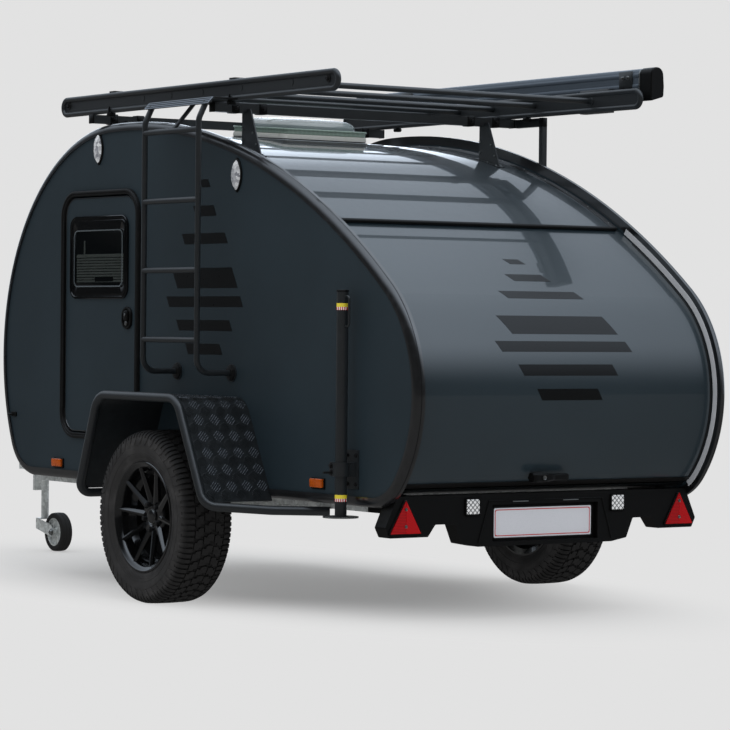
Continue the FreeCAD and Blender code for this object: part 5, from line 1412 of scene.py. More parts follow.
class TRAILER_OT_fenders(Fitting, bpy.types.Operator):
    """Five-bar tread plate fenders in a bent tube"""
    bl_idname = "trailer.fenders"
    bl_label = "Fenders"

    def make(self, scene):
        look = scene.trailer_fenders
        low, high, _ = corners("fender_tube_left")
        inner, out = low[1], high[1] - look.tube - .004
        line = laid(FENDER_CORNERS, out)
        path = bent([(line[0][0], inner, line[0][2]), *line, (-1.47, .90, .427),
                     (-1.60, inner, .425)], (.060, look.bend, look.bend, .070, .15), 10)
        both("fender_rail", [tube(path, look.tube, 18)], powder_black(),
             stands_for=["fender_tube"], smooth=60)
        flat = FENDER_CORNERS.copy()
        flat[0] = flat[1] + (flat[0] - flat[1]) * .95
        flat[-1] = flat[2] + (flat[-1] - flat[2]) * .97
        course = bent(flat, look.bend, 10)
        way = headings(course)
        course = coursed(course, np.stack([way[:, 1], -way[:, 0]], 1))
        wall, edge = corners("fender_plate_left")[0][1], out - look.tube * .6
        sheet = strip([(wall, -.0015), (wall, .0015), (edge, .0015), (edge, -.0015)], course, 0,
                      course[0][-1], 60)
        both("fender_sheet", [sheet], tread_black(), stands_for=["fender_plate"])
        # Painted highlight: the bars in one direction take the pale finish.
        both("fender_tread", [self.tread(course, wall, edge, look, 0)], tread_bar_highlight(), smooth=25)
        # Painted shade: the bars turned the other way take the plate's dark finish, a shaded copy
        # of the pale bars.
        both("fender_tread_cross", [self.tread(course, wall, edge, look, 1)], tread_black(),
             smooth=25)

    def tread(self, course, inner, outer, look, turned):
        """Groups of five bars in every second row along the bent sheet, turned by 45 degrees.

        A bar is a low trapezium, placed at (length, across, height) on the sheet after its turn
        about its group's middle. With turned at 1 they are the rows between, turned back.
        """
        length = course[0][-1]
        rows, cols = int((length - .05) / look.step * 2), int((outer - inner - .03) / look.step * 2)
        i, j = np.meshgrid(np.arange(rows + 1), np.arange(cols + 1), indexing="ij")
        keep = ((i + j) % 2 == 0) & (i % 2 == turned)
        i, j = i[keep], j[keep]
        middle = np.stack([length / 2 + (i - rows / 2) * look.step / 2,
                           (inner + outer) / 2 + (j - cols / 2) * look.step / 2], 1)
        turn = np.full(len(i), math.pi / 4 * (1 - 2 * turned))
        half, wide, pitch = look.bar / 2, .0019, .0094
        base = np.array([(-half, -wide), (half, -wide), (half, wide), (-half, wide)])
        small = base - np.sign(base) * (.004, .0010)
        shares = np.concatenate([np.concatenate([b + (0, pitch * k) for b in (base, small)])
                                 for k in (-2, -1, 0, 1, 2)])
        shorten = np.repeat([.72, .9, 1, .9, .72], 8)[:, None]
        shares = shares * np.concatenate([shorten, np.ones_like(shorten)], 1)
        c, s = np.cos(turn)[:, None], np.sin(turn)[:, None]
        along = middle[:, :1] + shares[None, :, 0] * c - shares[None, :, 1] * s
        across = middle[:, 1:] + shares[None, :, 0] * s + shares[None, :, 1] * c
        high = np.tile([.0011] * 4 + [.0036] * 4, 5)
        points = on_course(course, along, across, high).reshape(-1, 8, 3)
        box = np.array([(0, 1, 5, 4), (1, 2, 6, 5), (2, 3, 7, 6), (3, 0, 4, 7), (4, 5, 6, 7),
                        (3, 2, 1, 0)])
        faces = box[None] + 8 * np.arange(len(points))[:, None, None]
        return points.reshape(-1, 3), faces.reshape(-1, 4).tolist()


# ---- Skylight ----

class TrailerRoof(bpy.types.PropertyGroup):
    """Skylight and awning case"""
    skylight: length_of("Skylight", "Side of the square skylight", 0.460)
    dome: length_of("Dome", "Height of the skylight's dome over its rim", 0.044)
    rib: length_of("Awning rib", "Radius of the rounded rib along the awning case", 0.017)


def on_slope(shape, rear, front):
    """A shape made about the middle of a flat plate, laid on the line from rear to front.

    Each point is middle + x * U + y * (0, 1, 0) + z * N, for U along the line.
    """
    along = (front - rear) / np.linalg.norm(front - rear)
    up = np.array([-along[2], 0, along[0]])
    x, y, z = (shape[0][:, i:i + 1] for i in (0, 1, 2))
    return (rear + front) / 2 + x * along + y * (0, 1, 0) + z * up, shape[1]


def square(side, radius):
    """A rounded square about the origin."""
    return oblong(0, 0, side, side, radius, 8)


class TRAILER_OT_skylight(Fitting, bpy.types.Operator):
    """Square skylight: metal flange, gasket, white frame, clear band and smoky dome"""
    bl_idname = "trailer.skylight"
    bl_label = "Skylight"

    def make(self, scene):
        look = scene.trailer_roof
        side = look.skylight
        low, high, _ = corners("skylight_base")
        self.ends = [on_shell(reach(x), 0, 0) for x in (low[0] + .003, high[0] - .001)]
        self.band("skylight_flange", side, flange_metal(), [
            (0, .020, -.004), (0, .020, .0095), (.004, .018, .0115), (.030, .018, .0115),
            (.030, .018, -.004)])
        self.band("skylight_gasket", side, rubber_black(), [
            (.010, .026, .0105), (.008, .026, .0135), (.010, .026, .0165), (.050, .026, .0165),
            (.050, .026, .0105)])
        self.band("skylight_frame", side, roof_white(), [
            (.004, .030, .0160), (.002, .030, .0185), (.006, .030, .0350), (.014, .028, .0370),
            (.070, .028, .0370), (.070, .028, .0160)], ["skylight_base"])
        self.band("skylight_lid", side, roof_lens(), [
            (.016, .030, .0365), (.008, .032, .0390), (.008, .032, .0540), (0, .034, .0555),
            (0, .034, .0605), (.004, .032, .0625), (.066, .036, .0625), (.066, .036, .0365)])
        swell = np.linspace(0, math.pi / 2, 12)
        levels = []
        for a in swell:
            wide = (side - .060) * (1 - .36 * (1 - math.cos(a)) ** 1.35)
            levels.append((square(wide, wide * .17), .0620 + look.dome * math.sin(a)))
        for share in (.85, .6, .3):
            wide = (side - .060) * .64 * share
            levels.append((square(wide, wide * .17), .0620 + look.dome + .004 * (1 - share ** 2)))
        shell = on_slope(stepped(levels, "Z"), *self.ends)
        piece("skylight_cover", [shell], roof_dome(), smooth=50, stands_for=["skylight_dome"])

    def band(self, name, side, finish, levels, stands_for=()):
        """A square ring whose outline goes round through (inset, corner radius, height)."""
        loop = framed([(square(side - inset, radius), level)
                       for inset, radius, level in levels], "Z")
        piece(name, [on_slope(loop, *self.ends)], finish, stands_for=stands_for)


# ---- Roof rack, bars and awning ----

def bolt_on(at, radius, high, along="Y"):
    """A washer with a hexagon head on it, standing up from a face."""
    sign = 1 if high > 0 else -1
    return [disc(at, radius * 1.45, 0, sign * radius * .35, along, radius * .1, 20),
            nut(np.array(at) + np.array(AXES[along][2]) * sign * radius * .35, radius, high, along)]


class TRAILER_OT_rack(Fitting, bpy.types.Operator):
    """Roof bars with screwed feet, the rack's clamps and bolts, and the awning in its case"""
    bl_idname = "trailer.rack"
    bl_label = "Rack"

    def make(self, scene):
        look = scene.trailer_roof
        paint(powder_black(), "roof_rack", "roof_bar_front", "roof_bar_rear", "side_post")
        self.feet()
        self.clamps()
        self.post()
        self.awning(look)

    def feet(self):
        """A flange under each foot, its screws, and the screws in the foot's edges."""
        flanges, screws, foot = [], [], .640
        for node in ("roof_bar_front", "roof_bar_rear"):
            low, high, _ = corners(node)
            start, end = reach(low[0] - .006), reach(high[0] + .010)
            section = [(foot - .022, .0002), (foot + .022, .0002), (foot + .022, .0034),
                       (foot - .022, .0034)]
            flanges.append(shell_strip(section, start, end, 12))
            for across in (foot - .013, foot + .013):
                for share in (.12, .5, .88):
                    at = on_shell(start + (end - start) * share, across, .0034)
                    screws.append(ball(at, .0045, 8))
            spots = [(high[0] - .006, .075 + level) for level in (.030, .080, .130)]
            spots += [(high[0] - .066 - share * (high[0] - low[0] - .080), .055 + level)
                      for share, level in ((.30, .070), (.66, .120))]
            for x, below in spots:
                at = (x, foot, high[2] - below)
                screws.append(disc(at, .0040, -.0075, .0075, "Y", .0006, 12))
        both("bar_foot_flange", flanges, powder_black())
        both("bar_foot_screws", screws, bright_steel())

    def clamps(self):
        """Blocks and bolts where the rack sits on its bars, and the bars' end caps."""
        low, high, _ = corners("roof_rack")
        out = high[1]
        blocks, bolts, caps = [], [], []
        for node in ("roof_bar_front", "roof_bar_rear"):
            bar_high = corners(node)[1]
            middle = bar_high[0] - .020
            caps.append(slab((middle - .0215, bar_high[1] - .004, bar_high[2] - .0395),
                             (middle + .0215, bar_high[1] + .0030, bar_high[2] + .0010), .003))
            for across in (.700, .560):
                blocks.append(slab((middle - .024, across - .020, bar_high[2] - .041),
                                   (middle + .024, across + .020, bar_high[2] + .006), .003))
                bolts += bolt_on((middle - .024, across, bar_high[2] - .018), .0070, -.009, "X")
        for along in (.054, -.962):
            blocks += [slab((along - .014, out - .026, low[2] - .016),
                            (along + .014, out + .004, low[2] + .004), .003),
                       slab((along - .006, out - .002, low[2] - .012),
                            (along + .006, out + .006, low[2] + .030), .002)]
            bolts += bolt_on((along, out + .004, low[2] - .006), .0055, .006)
        top = high[2]
        for x in (high[0] - .061, low[0] + .084):
            at = (x, out - .0135, (low[2] + top) / 2 + .002)
            bolts += bolt_on(at, .0085, .010)
            bolts.append(disc(at, .016, 0, .0035, "Y", .001, 28))
        both("rack_clamps", blocks, moulded_black())
        both("bar_end_caps", caps, moulded_black())
        both("rack_bolts", bolts, black_bolt())
        line, inner = (oblong((low[0] + high[0]) / 2, (low[2] + top) / 2, high[0] - low[0] - inset,
                              top - low[2] - inset, radius, 8)
                       for inset, radius in ((.036, .026), (.050, .020)))
        lip = framed([(line, out - .0165), (line, out - .0105), (inner, out - .0105),
                      (inner, out - .0165)])
        both("rack_panel_lip", [lip, prism(line, out - .0170, out - .0150, "Y")], powder_black())

    def post(self):
        """End caps on the side post and bolts through its foot."""
        low, high, _ = corners("side_post")
        proud, foot, head = .0012, low[2], high[2]
        x, y, side = low[0] - proud, low[1] - proud, .026 + 2 * proud
        caps = [slab((x, y, bottom), (x + side, y + side, top), .002)
                for bottom, top in ((head - .040, head + proud), (foot - .003, foot + .010))]
        piece("post_caps", caps, moulded_black())
        bolts = []
        for level in (.018, .044):
            bolts += bolt_on((low[0] + .013, low[1], low[2] + level), .0060, -.006)
        piece("post_bolts", bolts, black_bolt())

    def awning(self, look):
        """A ribbed case between moulded ends, with a pale strip, on two brackets."""
        low, high, middle = corners("awning")
        deep, tall = high[1] - low[1], high[2] - low[2]
        share = np.array([(0, 0), (0, 1), (.92, 1), (1, .45), (.97, .14)])
        line = np.stack([high[1] - share[:, 0] * deep, low[2] + share[:, 1] * tall], 1)
        case = rounded(line, (.006, .030, .034, .05, .012), 8)
        centre = (case.max(0) + case.min(0)) / 2

        def grown(by):
            """The case's section moved out evenly."""
            return centre + (case - centre) * (1 + by / np.array([deep, tall]) * 2)

        cap = .085
        body = prism(grown(-.0015), low[0] + cap, high[0] - cap, "X")
        piece("awning_case", [body], anodised_black(), stands_for=["awning"])
        ends = [prism(case, low[0], low[0] + cap - .006, "X", .004),
                prism(case, high[0] - cap + .006, high[0], "X", .004)]
        piece("awning_ends", ends, moulded_black())
        strips = [prism(grown(-.0004), low[0] + cap - .006, low[0] + cap, "X"),
                  prism(grown(-.0004), high[0] - cap, high[0] - cap + .006, "X")]
        piece("awning_strips", strips, flange_metal())
        ribs = [tube([(x, high[1] - wide * .8, low[2] + tall * level)
                      for x in (low[0] + cap, high[0] - cap)], wide, 20)
                for level, wide in ((.78, look.rib * .8), (.46, look.rib), (.18, look.rib * .6))]
        piece("awning_ribs", ribs, anodised_black())
        plates, screws = [], []
        for along in (.030, -1.617):
            plates.append(slab((along - .045, high[1] - .001, low[2] + .060),
                               (along + .045, high[1] + .005, high[2] - .012), .0015))
            for step in (-.018, .018):
                screws += bolt_on((along + step, high[1] + .005, high[2] - .040), .0065, .006)
        piece("awning_brackets", plates, powder_black())
        piece("awning_screws", screws, bright_steel())
        low, high, middle = corners("roof_rack")
        right = low[1] + .036
        plate = slab((-1.536, low[1] - .001, low[2] - .002), (-1.340, right, high[2] + .002), .0015)
        boss = disc((-1.43, right, middle[2]), .019, 0, .014, "Y", .001, 24)
        piece("rack_bracket", [plate, boss], powder_black())
        bolts = [bolt_on((-1.362 - step, right, level), .0055, .005)
                 for step in (0, -.04) for level in (low[2] + .014, high[2] - .014)]
        piece("rack_bracket_bolts", sum(bolts, []), bright_steel())


# ---- Ladder ----

class TRAILER_OT_ladder(Fitting, bpy.types.Operator):
    """Ladder with rubber-backed flanges and a ribbed top step"""
    bl_idname = "trailer.ladder"
    bl_label = "Ladder"

    def make(self, scene):
        paint(powder_black(), "ladder")
        low, high, _ = corners("ladder")
        wall = corners("side_wall_left")[1][1]
        pads, bolts, level, circle = [], [], .981, .0265
        pad = [(.0130, .0052), (.0330, .0052), (.0340, .0065), (.0330, .0110), (.0160, .0160),
               (.0130, .0160)]
        for along in (-.538, -.980):
            pads.append(lathe(pad, (along, wall, level), "Y", 36, closed=True))
            for turn in np.arange(3) * 2 * math.pi / 3 + .5:
                at = (along + circle * math.cos(turn), wall + .0050,
                      level + circle * math.sin(turn))
                bolts.append(nut(at, .0048, .0105))
        piece("ladder_pads", pads, rubber_black())
        piece("ladder_bolts", bolts, black_bolt())
        top, start, end = high[2], low[0] + .012, high[0] - .012
        ribs = [slab((start, across - .0018, top - .001), (end, across + .0018, top + .0014), .0008)
                for across in np.arange(.812, .922, .0135)]
        edge = np.array([(.9485, 2.1165), (.9235, 2.1430)])
        lines = edge[0] + (edge[1] - edge[0]) * np.linspace(.18, .82, 3)[:, None]
        ribs += [tube([(x, y + .0022, z + .0022) for x in (start, end)], .0016, 6)
                 for y, z in lines]
        piece("ladder_step_ribs", ribs, powder_black())
        face = prism(np.array([(.9500, 2.1155), (.9512, 2.1170), (.9250, 2.1447), (.9235, 2.1432)]),
                     low[0] + .002, high[0] - .002, "X")
        # Painted highlight: the step's bevelled face takes a pale grey finish.
        piece("ladder_step_face", [face], step_face_highlight())
        ends = [slab((left, .806, top - .0075), (right, .920, top - .0005), .0006)
                for left, right in ((low[0] - .0012, low[0] + .0015),
                                    (high[0] - .0015, high[0] + .0012))]
        piece("ladder_step_ends", ends, rubber_black())


# ---- Steady legs ----

class TRAILER_OT_legs(Fitting, bpy.types.Operator):
    """Sliding steady legs with taped bands, bolted wall plates and clamp screws"""
    bl_idname = "trailer.legs"
    bl_label = "Steady legs"

    def make(self, scene):
        paint(powder_black(), *pair("steady_leg"), *pair("steady_clamp"))
        low, high, _ = corners("steady_leg_left")
        clamp_low, clamp_high, _ = corners("steady_clamp_left")
        x, y, radius = -1.895, .848, .0241
        wall = clamp_low[1]

        def band(start, end):
            """A thin sleeve on the tube between two heights."""
            return lathe([(radius, start), (radius + .0005, start), (radius + .0005, end),
                          (radius, end)], (x, y, 0), "Z", 40, closed=True)

        yellow = [band(.497, .512), band(1.262, 1.277)]
        both("leg_band_yellow", yellow, band_yellow(), "steady_leg_%s")
        red = [band(.485, .497), band(1.250, 1.262)]
        both("leg_band_red", red, band_red(), "steady_leg_%s")
        cap = [disc((x, y, 0), .0252, high[2] - .004, high[2] + .006, "Z", .003, 32)]
        both("leg_cap", cap, moulded_black(), "steady_leg_%s")
        rim = hoop(.0022, laid(ring(.0700, 48), low[2] + .0035, "Z") + (x, y, 0))
        both("leg_foot_rim", [rim], zinc(), "steady_leg_%s")
        plate_face = wall + .006
        bolts = []
        for along in (-.030, .030):
            for level in (clamp_low[2] + .020, clamp_high[2] - .020):
                bolts += bolt_on((x + along, plate_face, level), .0065, .007)
        middle = .613
        for level in (middle - .014, middle + .014):
            bolts += bolt_on((x + .050, y + .011, level), .0080, .010)
            bolts += bolt_on((x + .050, y - .011, level), .0080, -.010)
        bolts.append(tube([(x + .050, y + .020, middle - .014),
                           (x + .050, y + .052, middle - .014)], .0050, 12))
        both("clamp_bolts", bolts, black_bolt())
        rings = [lathe([(.0335, level), (.0350, level), (.0350, level + .006),
                        (.0335, level + .006)], (x, y, 0), "Z", 40, closed=True)
                 for level in (.586, .634)]
        both("clamp_ring_lips", rings, powder_black())


# ---- Rear: bumper, lamps, reflectors, plate and hatch handle ----

class TRAILER_OT_rear(Fitting, bpy.types.Operator):
    """Bumper with its lamps, triangle reflectors and blank plate, and the hatch handle"""
    bl_idname = "trailer.rear"
    bl_label = "Rear"

    def make(self, scene):
        paint(moulded_black(), "bumper")
        paint(plate_white(), "number_plate")
        self.lamps()
        self.reflectors()
        self.plate()
        self.handle()

    def lamps(self):
        """A square bezel round a clear lens."""
        low, high, middle = corners("rear_lamp_left")
        y, z, back, face = middle[1], middle[2], high[0], low[0]

        def line(inset, radius):
            """The lamp's outline drawn in by an inset."""
            return oblong(y, z, .078 - 2 * inset, .074 - 2 * inset, radius, 6)

        bezel = [(line(0, .010), back), (line(0, .010), face + .004),
                 (line(.002, .009), face + .001), (line(.005, .007), face + .001),
                 (line(.007, .006), face + .005), (line(.007, .006), back)]
        both("lamp_bezel", [framed(bezel, "X")], moulded_black())
        lens = [(line(.0072, .006), back), (line(.0072, .006), face + .003),
                (line(.010, .004), face + .0012)]
        both("lamp_lens", [stepped(lens, "X")], clear_lens(), stands_for=["rear_lamp"])

    def reflectors(self):
        """A triangle bezel round two lens halves, with a screw through each end of the spine."""
        low, high, _ = corners("reflector_left")
        y, back, face = (low[1] + high[1]) / 2, high[0], low[0]
        side = .158
        tall = side * math.sqrt(3) / 2
        base = low[2]

        def triangle(grow, radius):
            """An upright triangle with round corners, each side moved out by grow."""
            reach_out = grow * math.sqrt(3)
            return rounded([(y - side / 2 - reach_out, base - grow),
                            (y + side / 2 + reach_out, base - grow),
                            (y, base + tall + 2 * grow)], radius, 6)

        bezel = [(triangle(.0045, .010), back + .001), (triangle(.0045, .010), face + .004),
                 (triangle(.0025, .009), face + .002), (triangle(.0002, .008), face + .002),
                 (triangle(-.0010, .007), face + .005), (triangle(-.0010, .007), back + .001)]
        both("reflector_bezel", [framed(bezel, "X")], moulded_black())
        half = []
        for hand in (-1, 1):
            line = np.array([(y + hand * .0006, base + .001),
                             (y + hand * (side / 2 - .005), base + .001),
                             (y + hand * .0006, base + tall - .004)])
            face_line = line + (line.mean(0) - line) * .03
            half.append(stepped([(line, back), (line, face + .0015), (face_line, face + .0004)],
                                "X"))
        spine = slab((face + .002, y - .0012, base + .002),
                     (back, y + .0012, base + tall - .004), .0003)
        both("reflector_lens", half + [spine], red_lens(), stands_for=["reflector"], smooth=20)
        screws = []
        for level in (.030, .098):
            at = (face + .0006, y, base + level)
            screws.append(disc(at, .0052, 0, -.0025, "X", .0006, 16))
            screws.append(disc(at, .0070, .0002, -.0008, "X", .0002, 20))
        both("reflector_screws", screws, bright_steel())

    def plate(self):
        """A thin red line round the blank plate, and the slots over its recess."""
        low, high, middle = corners("number_plate")
        long, tall, face = high[1] - low[1], high[2] - low[2], low[0]

        def line(inset):
            """The plate's outline drawn in by an inset."""
            return oblong(middle[1], middle[2], long - 2 * inset, tall - 2 * inset, .008, 5)

        loop = framed([(line(.006), face + .0003), (line(.006), face - .0004),
                       (line(.0095), face - .0004), (line(.0095), face + .0003)], "X")
        piece("plate_border", [loop], plate_red())
        back = corners("bumper")[0][0]
        holder = oblongs(0, middle[2], [
            (long + grow, tall + grow, radius, level)
            for grow, radius, level in ((.016, .012, face + .001), (.016, .012, face - .003),
                                        (.004, .009, face - .004), (.001, .008, face + .001))], 6)
        piece("plate_holder", [framed(holder, "X")], moulded_black())
        slots = [slab((back - .0008, across - .040, .4795),
                      (back + .002, across + .040, .4835), .0006) for across in (-.130, .130)]
        piece("plate_slots", slots, flange_metal())
        x = back - .0004
        ridges = [tube([(x, hand * .292, .486), (x, hand * .345, .318)], .0035, 8)
                  for hand in (-1, 1)]
        ridges.append(tube([(x, -.292, .486), (x, .292, .486)], .0028, 8))
        piece("bumper_ridges", ridges, moulded_black())

    def handle(self):
        """A rounded pull on a base plate, with its key barrel, for the one on the hatch."""
        low, high, middle = corners("hatch_handle")
        start, end, tall = low[1] - .004, high[1] + .047, high[2] - low[2] + .010
        rows = []
        for share in np.linspace(0, 1, 24):
            swell = min(1, share / .06, (1 - share) / .06) ** .5 if 0 < share < 1 else .05
            thin = 1 - .30 * (1 / (1 + math.exp(-(share - .42) * 26)))
            half = tall / 2 * swell * thin
            bulge = .034 * swell * (1 - .18 * (share > .55))
            base = low[0] + .040
            line = np.array([(base, -half), (base - bulge * .7, -half), (base - bulge, -half * .55),
                             (base - bulge, half * .55), (base - bulge * .7, half), (base, half)])
            rows.append(np.stack([line[:, 0], np.full(6, end - share * (end - start)),
                                  middle[2] + line[:, 1]], 1))
        piece("hatch_grip", [capped(np.stack(rows))], moulded_black(), "hatch",
              stands_for=["hatch_handle"])
        key = middle[1] + .064
        barrel = disc((low[0] + .006, key, middle[2]), .0085, .002, -.0035, "X", .0008, 24)
        piece("hatch_key", [barrel], bright_steel(), "hatch")
        keyway = slab((low[0] + .0020, key - .0008, middle[2] - .005),
                      (low[0] + .0034, key + .0008, middle[2] + .005), .0002)
        piece("hatch_keyway", [keyway], black_bolt(), "hatch")


# ---- Side lamps and small wall fittings ----

class TRAILER_OT_lamps(Fitting, bpy.types.Operator):
    """Amber side lamps, faceted porch lamps and the awning hooks on the walls"""
    bl_idname = "trailer.lamps"
    bl_label = "Side lamps"

    def make(self, scene):
        wall = corners("side_wall_left")[1][1]
        bases, ambers = [], []
        for x, z in ((-1.646, .546), (.522, .536)):
            base = oblong(x - .003, z - .002, .096, .046, .005, 5)
            bases.append(prism(base, wall - .001, wall + .006, "Y", .001))
            lens = oblong(x, z, .088, .036, .004, 5)
            ambers.append(prism(lens, wall + .003, wall + .016, "Y", .0025))
            ambers.append(slab((x - .001, wall + .015, z - .017),
                               (x + .001, wall + .0172, z + .017), .0004))
        both("side_lamp_base", bases, moulded_black())
        both("side_lamp", ambers, amber_lens())
        bezels, lenses = [], []
        for x, z in ((.166, 1.978), (-1.010, 1.820)):
            bezels.append(framed([
                (self.leaf(x, z, wide, tall), wall + level)
                for wide, tall, level in ((.074, .146, -.0005), (.074, .146, .004),
                                          (.068, .138, .008), (.060, .128, .008),
                                          (.060, .128, -.0005))]))
            lenses.append(stepped([
                (self.leaf(x, z, wide, tall), wall + level)
                for wide, tall, level in ((.0595, .1275, -.0005), (.0595, .1275, .009),
                                          (.046, .104, .017), (.022, .060, .021))]))
        both("porch_lamp_bezel", bezels, moulded_black())
        both("porch_lamp", lenses, porch_lens(), smooth=12)
        x, z = .958, .748
        hook = [prism(oblong(x, z, .052, .022, .006, 5), wall - .001, wall + .005, "Y", .001), tube(
            bent([(x + .014, wall + .003, z), (x + .014, wall + .026, z),
                  (x - .016, wall + .026, z), (x - .016, wall + .018, z)], .006, 5), .0052, 10)]
        both("awning_hook", hook, moulded_black())

    def leaf(self, x, z, wide, tall):
        """An upright lens outline: two arcs that meet in rounded points.

        Its half width is wide / 2 * (1 - s^2)^0.8 at the share s of its half height.
        """
        share = np.sin(np.linspace(-math.pi / 2, math.pi / 2, 18))
        half = wide / 2 * (1 - share ** 2) ** 0.8 + .0025
        right = np.stack([x + half, z + share * tall / 2], 1)
        left = np.stack([x - half, z + share * tall / 2], 1)[::-1]
        return np.concatenate([right, left])


# ---- Chassis, coupling, jockey wheel and axle ----

class TRAILER_OT_chassis(Fitting, bpy.types.Operator):
    """Galvanised frame and coupling, jockey wheel with a pressed disc, and the axle"""
    bl_idname = "trailer.chassis"
    bl_label = "Chassis"

    def make(self, scene):
        paint(zinc(), "chassis_frame", "coupling_head", "jockey_outer_tube",
              "jockey_inner_tube", "jockey_fork", "axle")
        paint(black_bolt(), *pair("hub"))
        self.jockey()
        self.drawbar()

    def jockey(self):
        """A pressed disc with eight ribs in a rubber ring, on a nutted axle."""
        centre = corners("jockey_wheel")[2]
        face = [(.0085, .0330), (.0195, .0330), (.0205, .0310), (.0210, .0150), (.0280, .0115),
                (.0420, .0130), (.0600, .0095), (.0660, .0130), (.0680, .0240), (.0700, .0270),
                (.0722, .0270)]
        profile = face + [(radius, -level) for radius, level in face[::-1]]
        ribs = []
        for hand in (1, -1):
            rib = slab((-.0026, hand * .0080, .0235), (.0026, hand * .0160, .0640), .0015)
            ribs += spun([shifted(rib, centre)], centre, 8)
        piece("jockey_disc", [lathe(profile, centre, "Y", 64, closed=True), *ribs],
              zinc(), "jockey_wheel", stands_for=["jockey_wheel"])
        rubber = [(.0718, -.0280), (.0790, -.0300), (.0930, -.0300), (.0985, -.0250),
                  (.0998, -.0120), (.0990, -.0100), (.0990, -.0080), (.1000, -.0060),
                  (.1000, .0060), (.0990, .0080), (.0990, .0100), (.0998, .0120), (.0985, .0250),
                  (.0930, .0300), (.0790, .0300), (.0718, .0280)]
        piece("jockey_ring", [lathe(rubber, centre, "Y", 72, closed=True)],
              tyre_rubber(), "jockey_wheel", slot="jockey_rubber")
        out = corners("jockey_fork")[1][1] - .008
        nuts = []
        for hand in (1, -1):
            nuts += bolt_on((centre[0], hand * out, centre[2]), .0130, hand * .0090)
        piece("jockey_nuts", nuts, bright_steel(), "jockey_fork")

    def drawbar(self):
        """Clamp round the jockey tube, coupling bolts, lever sleeve and the hanging bracket."""
        tube_at = corners("jockey_outer_tube")[2]
        rear = corners("coupling_head")[0][0]
        bottom, top = (corner[2] for corner in corners("chassis_frame")[:2])
        clamp = [lathe([(.0243, top + .001), (.0300, top + .001), (.0300, top + .045),
                        (.0243, top + .045)], tube_at * (1, 1, 0), "Z", 36, closed=True),
                 slab((tube_at[0] - .060, -.012, top + .004),
                      (tube_at[0] - .026, .012, top + .042), .002)]
        piece("jockey_clamp", clamp, zinc())
        handle = tube(bent([
            (tube_at[0] - .045, .010, top + .023), (tube_at[0] - .045, .050, top + .023),
            (tube_at[0] - .045, .062, top + .060)], .010, 5), .0055, 10)
        bolts = [handle]
        for x in (rear + .022, rear + .062):
            for hand in (1, -1):
                bolts += bolt_on((x, hand * .032, top - .040), .0090, hand * .0080)
        piece("coupling_bolts", bolts, bright_steel())
        bracket = slab((2.158, -.020, .305), (2.182, .020, bottom + .020), .002)
        piece("hanging_bracket", [bracket], zinc())
        crank = corners("jockey_inner_tube")[1]
        grip = lathe([(.0131, crank[2] - .094), (.0150, crank[2] - .088), (.0142, crank[2] - .050),
                      (.0150, crank[2] - .012), (.0110, crank[2] + .001), (0, crank[2] + .0015)],
                     (crank[0] - .014, 0, 0), "Z", 24)
        piece("crank_grip", [grip], moulded_black(), "jockey_leg")


# ---- Inside ----

class TrailerInside(bpy.types.PropertyGroup):
    """The mattress"""
    crown: length_of("Mattress crown", "How far the mattress stands up in the middle", 0.012)
    seam_step: length_of("Seam spacing", "Between the sewn channels across the mattress", 0.325)


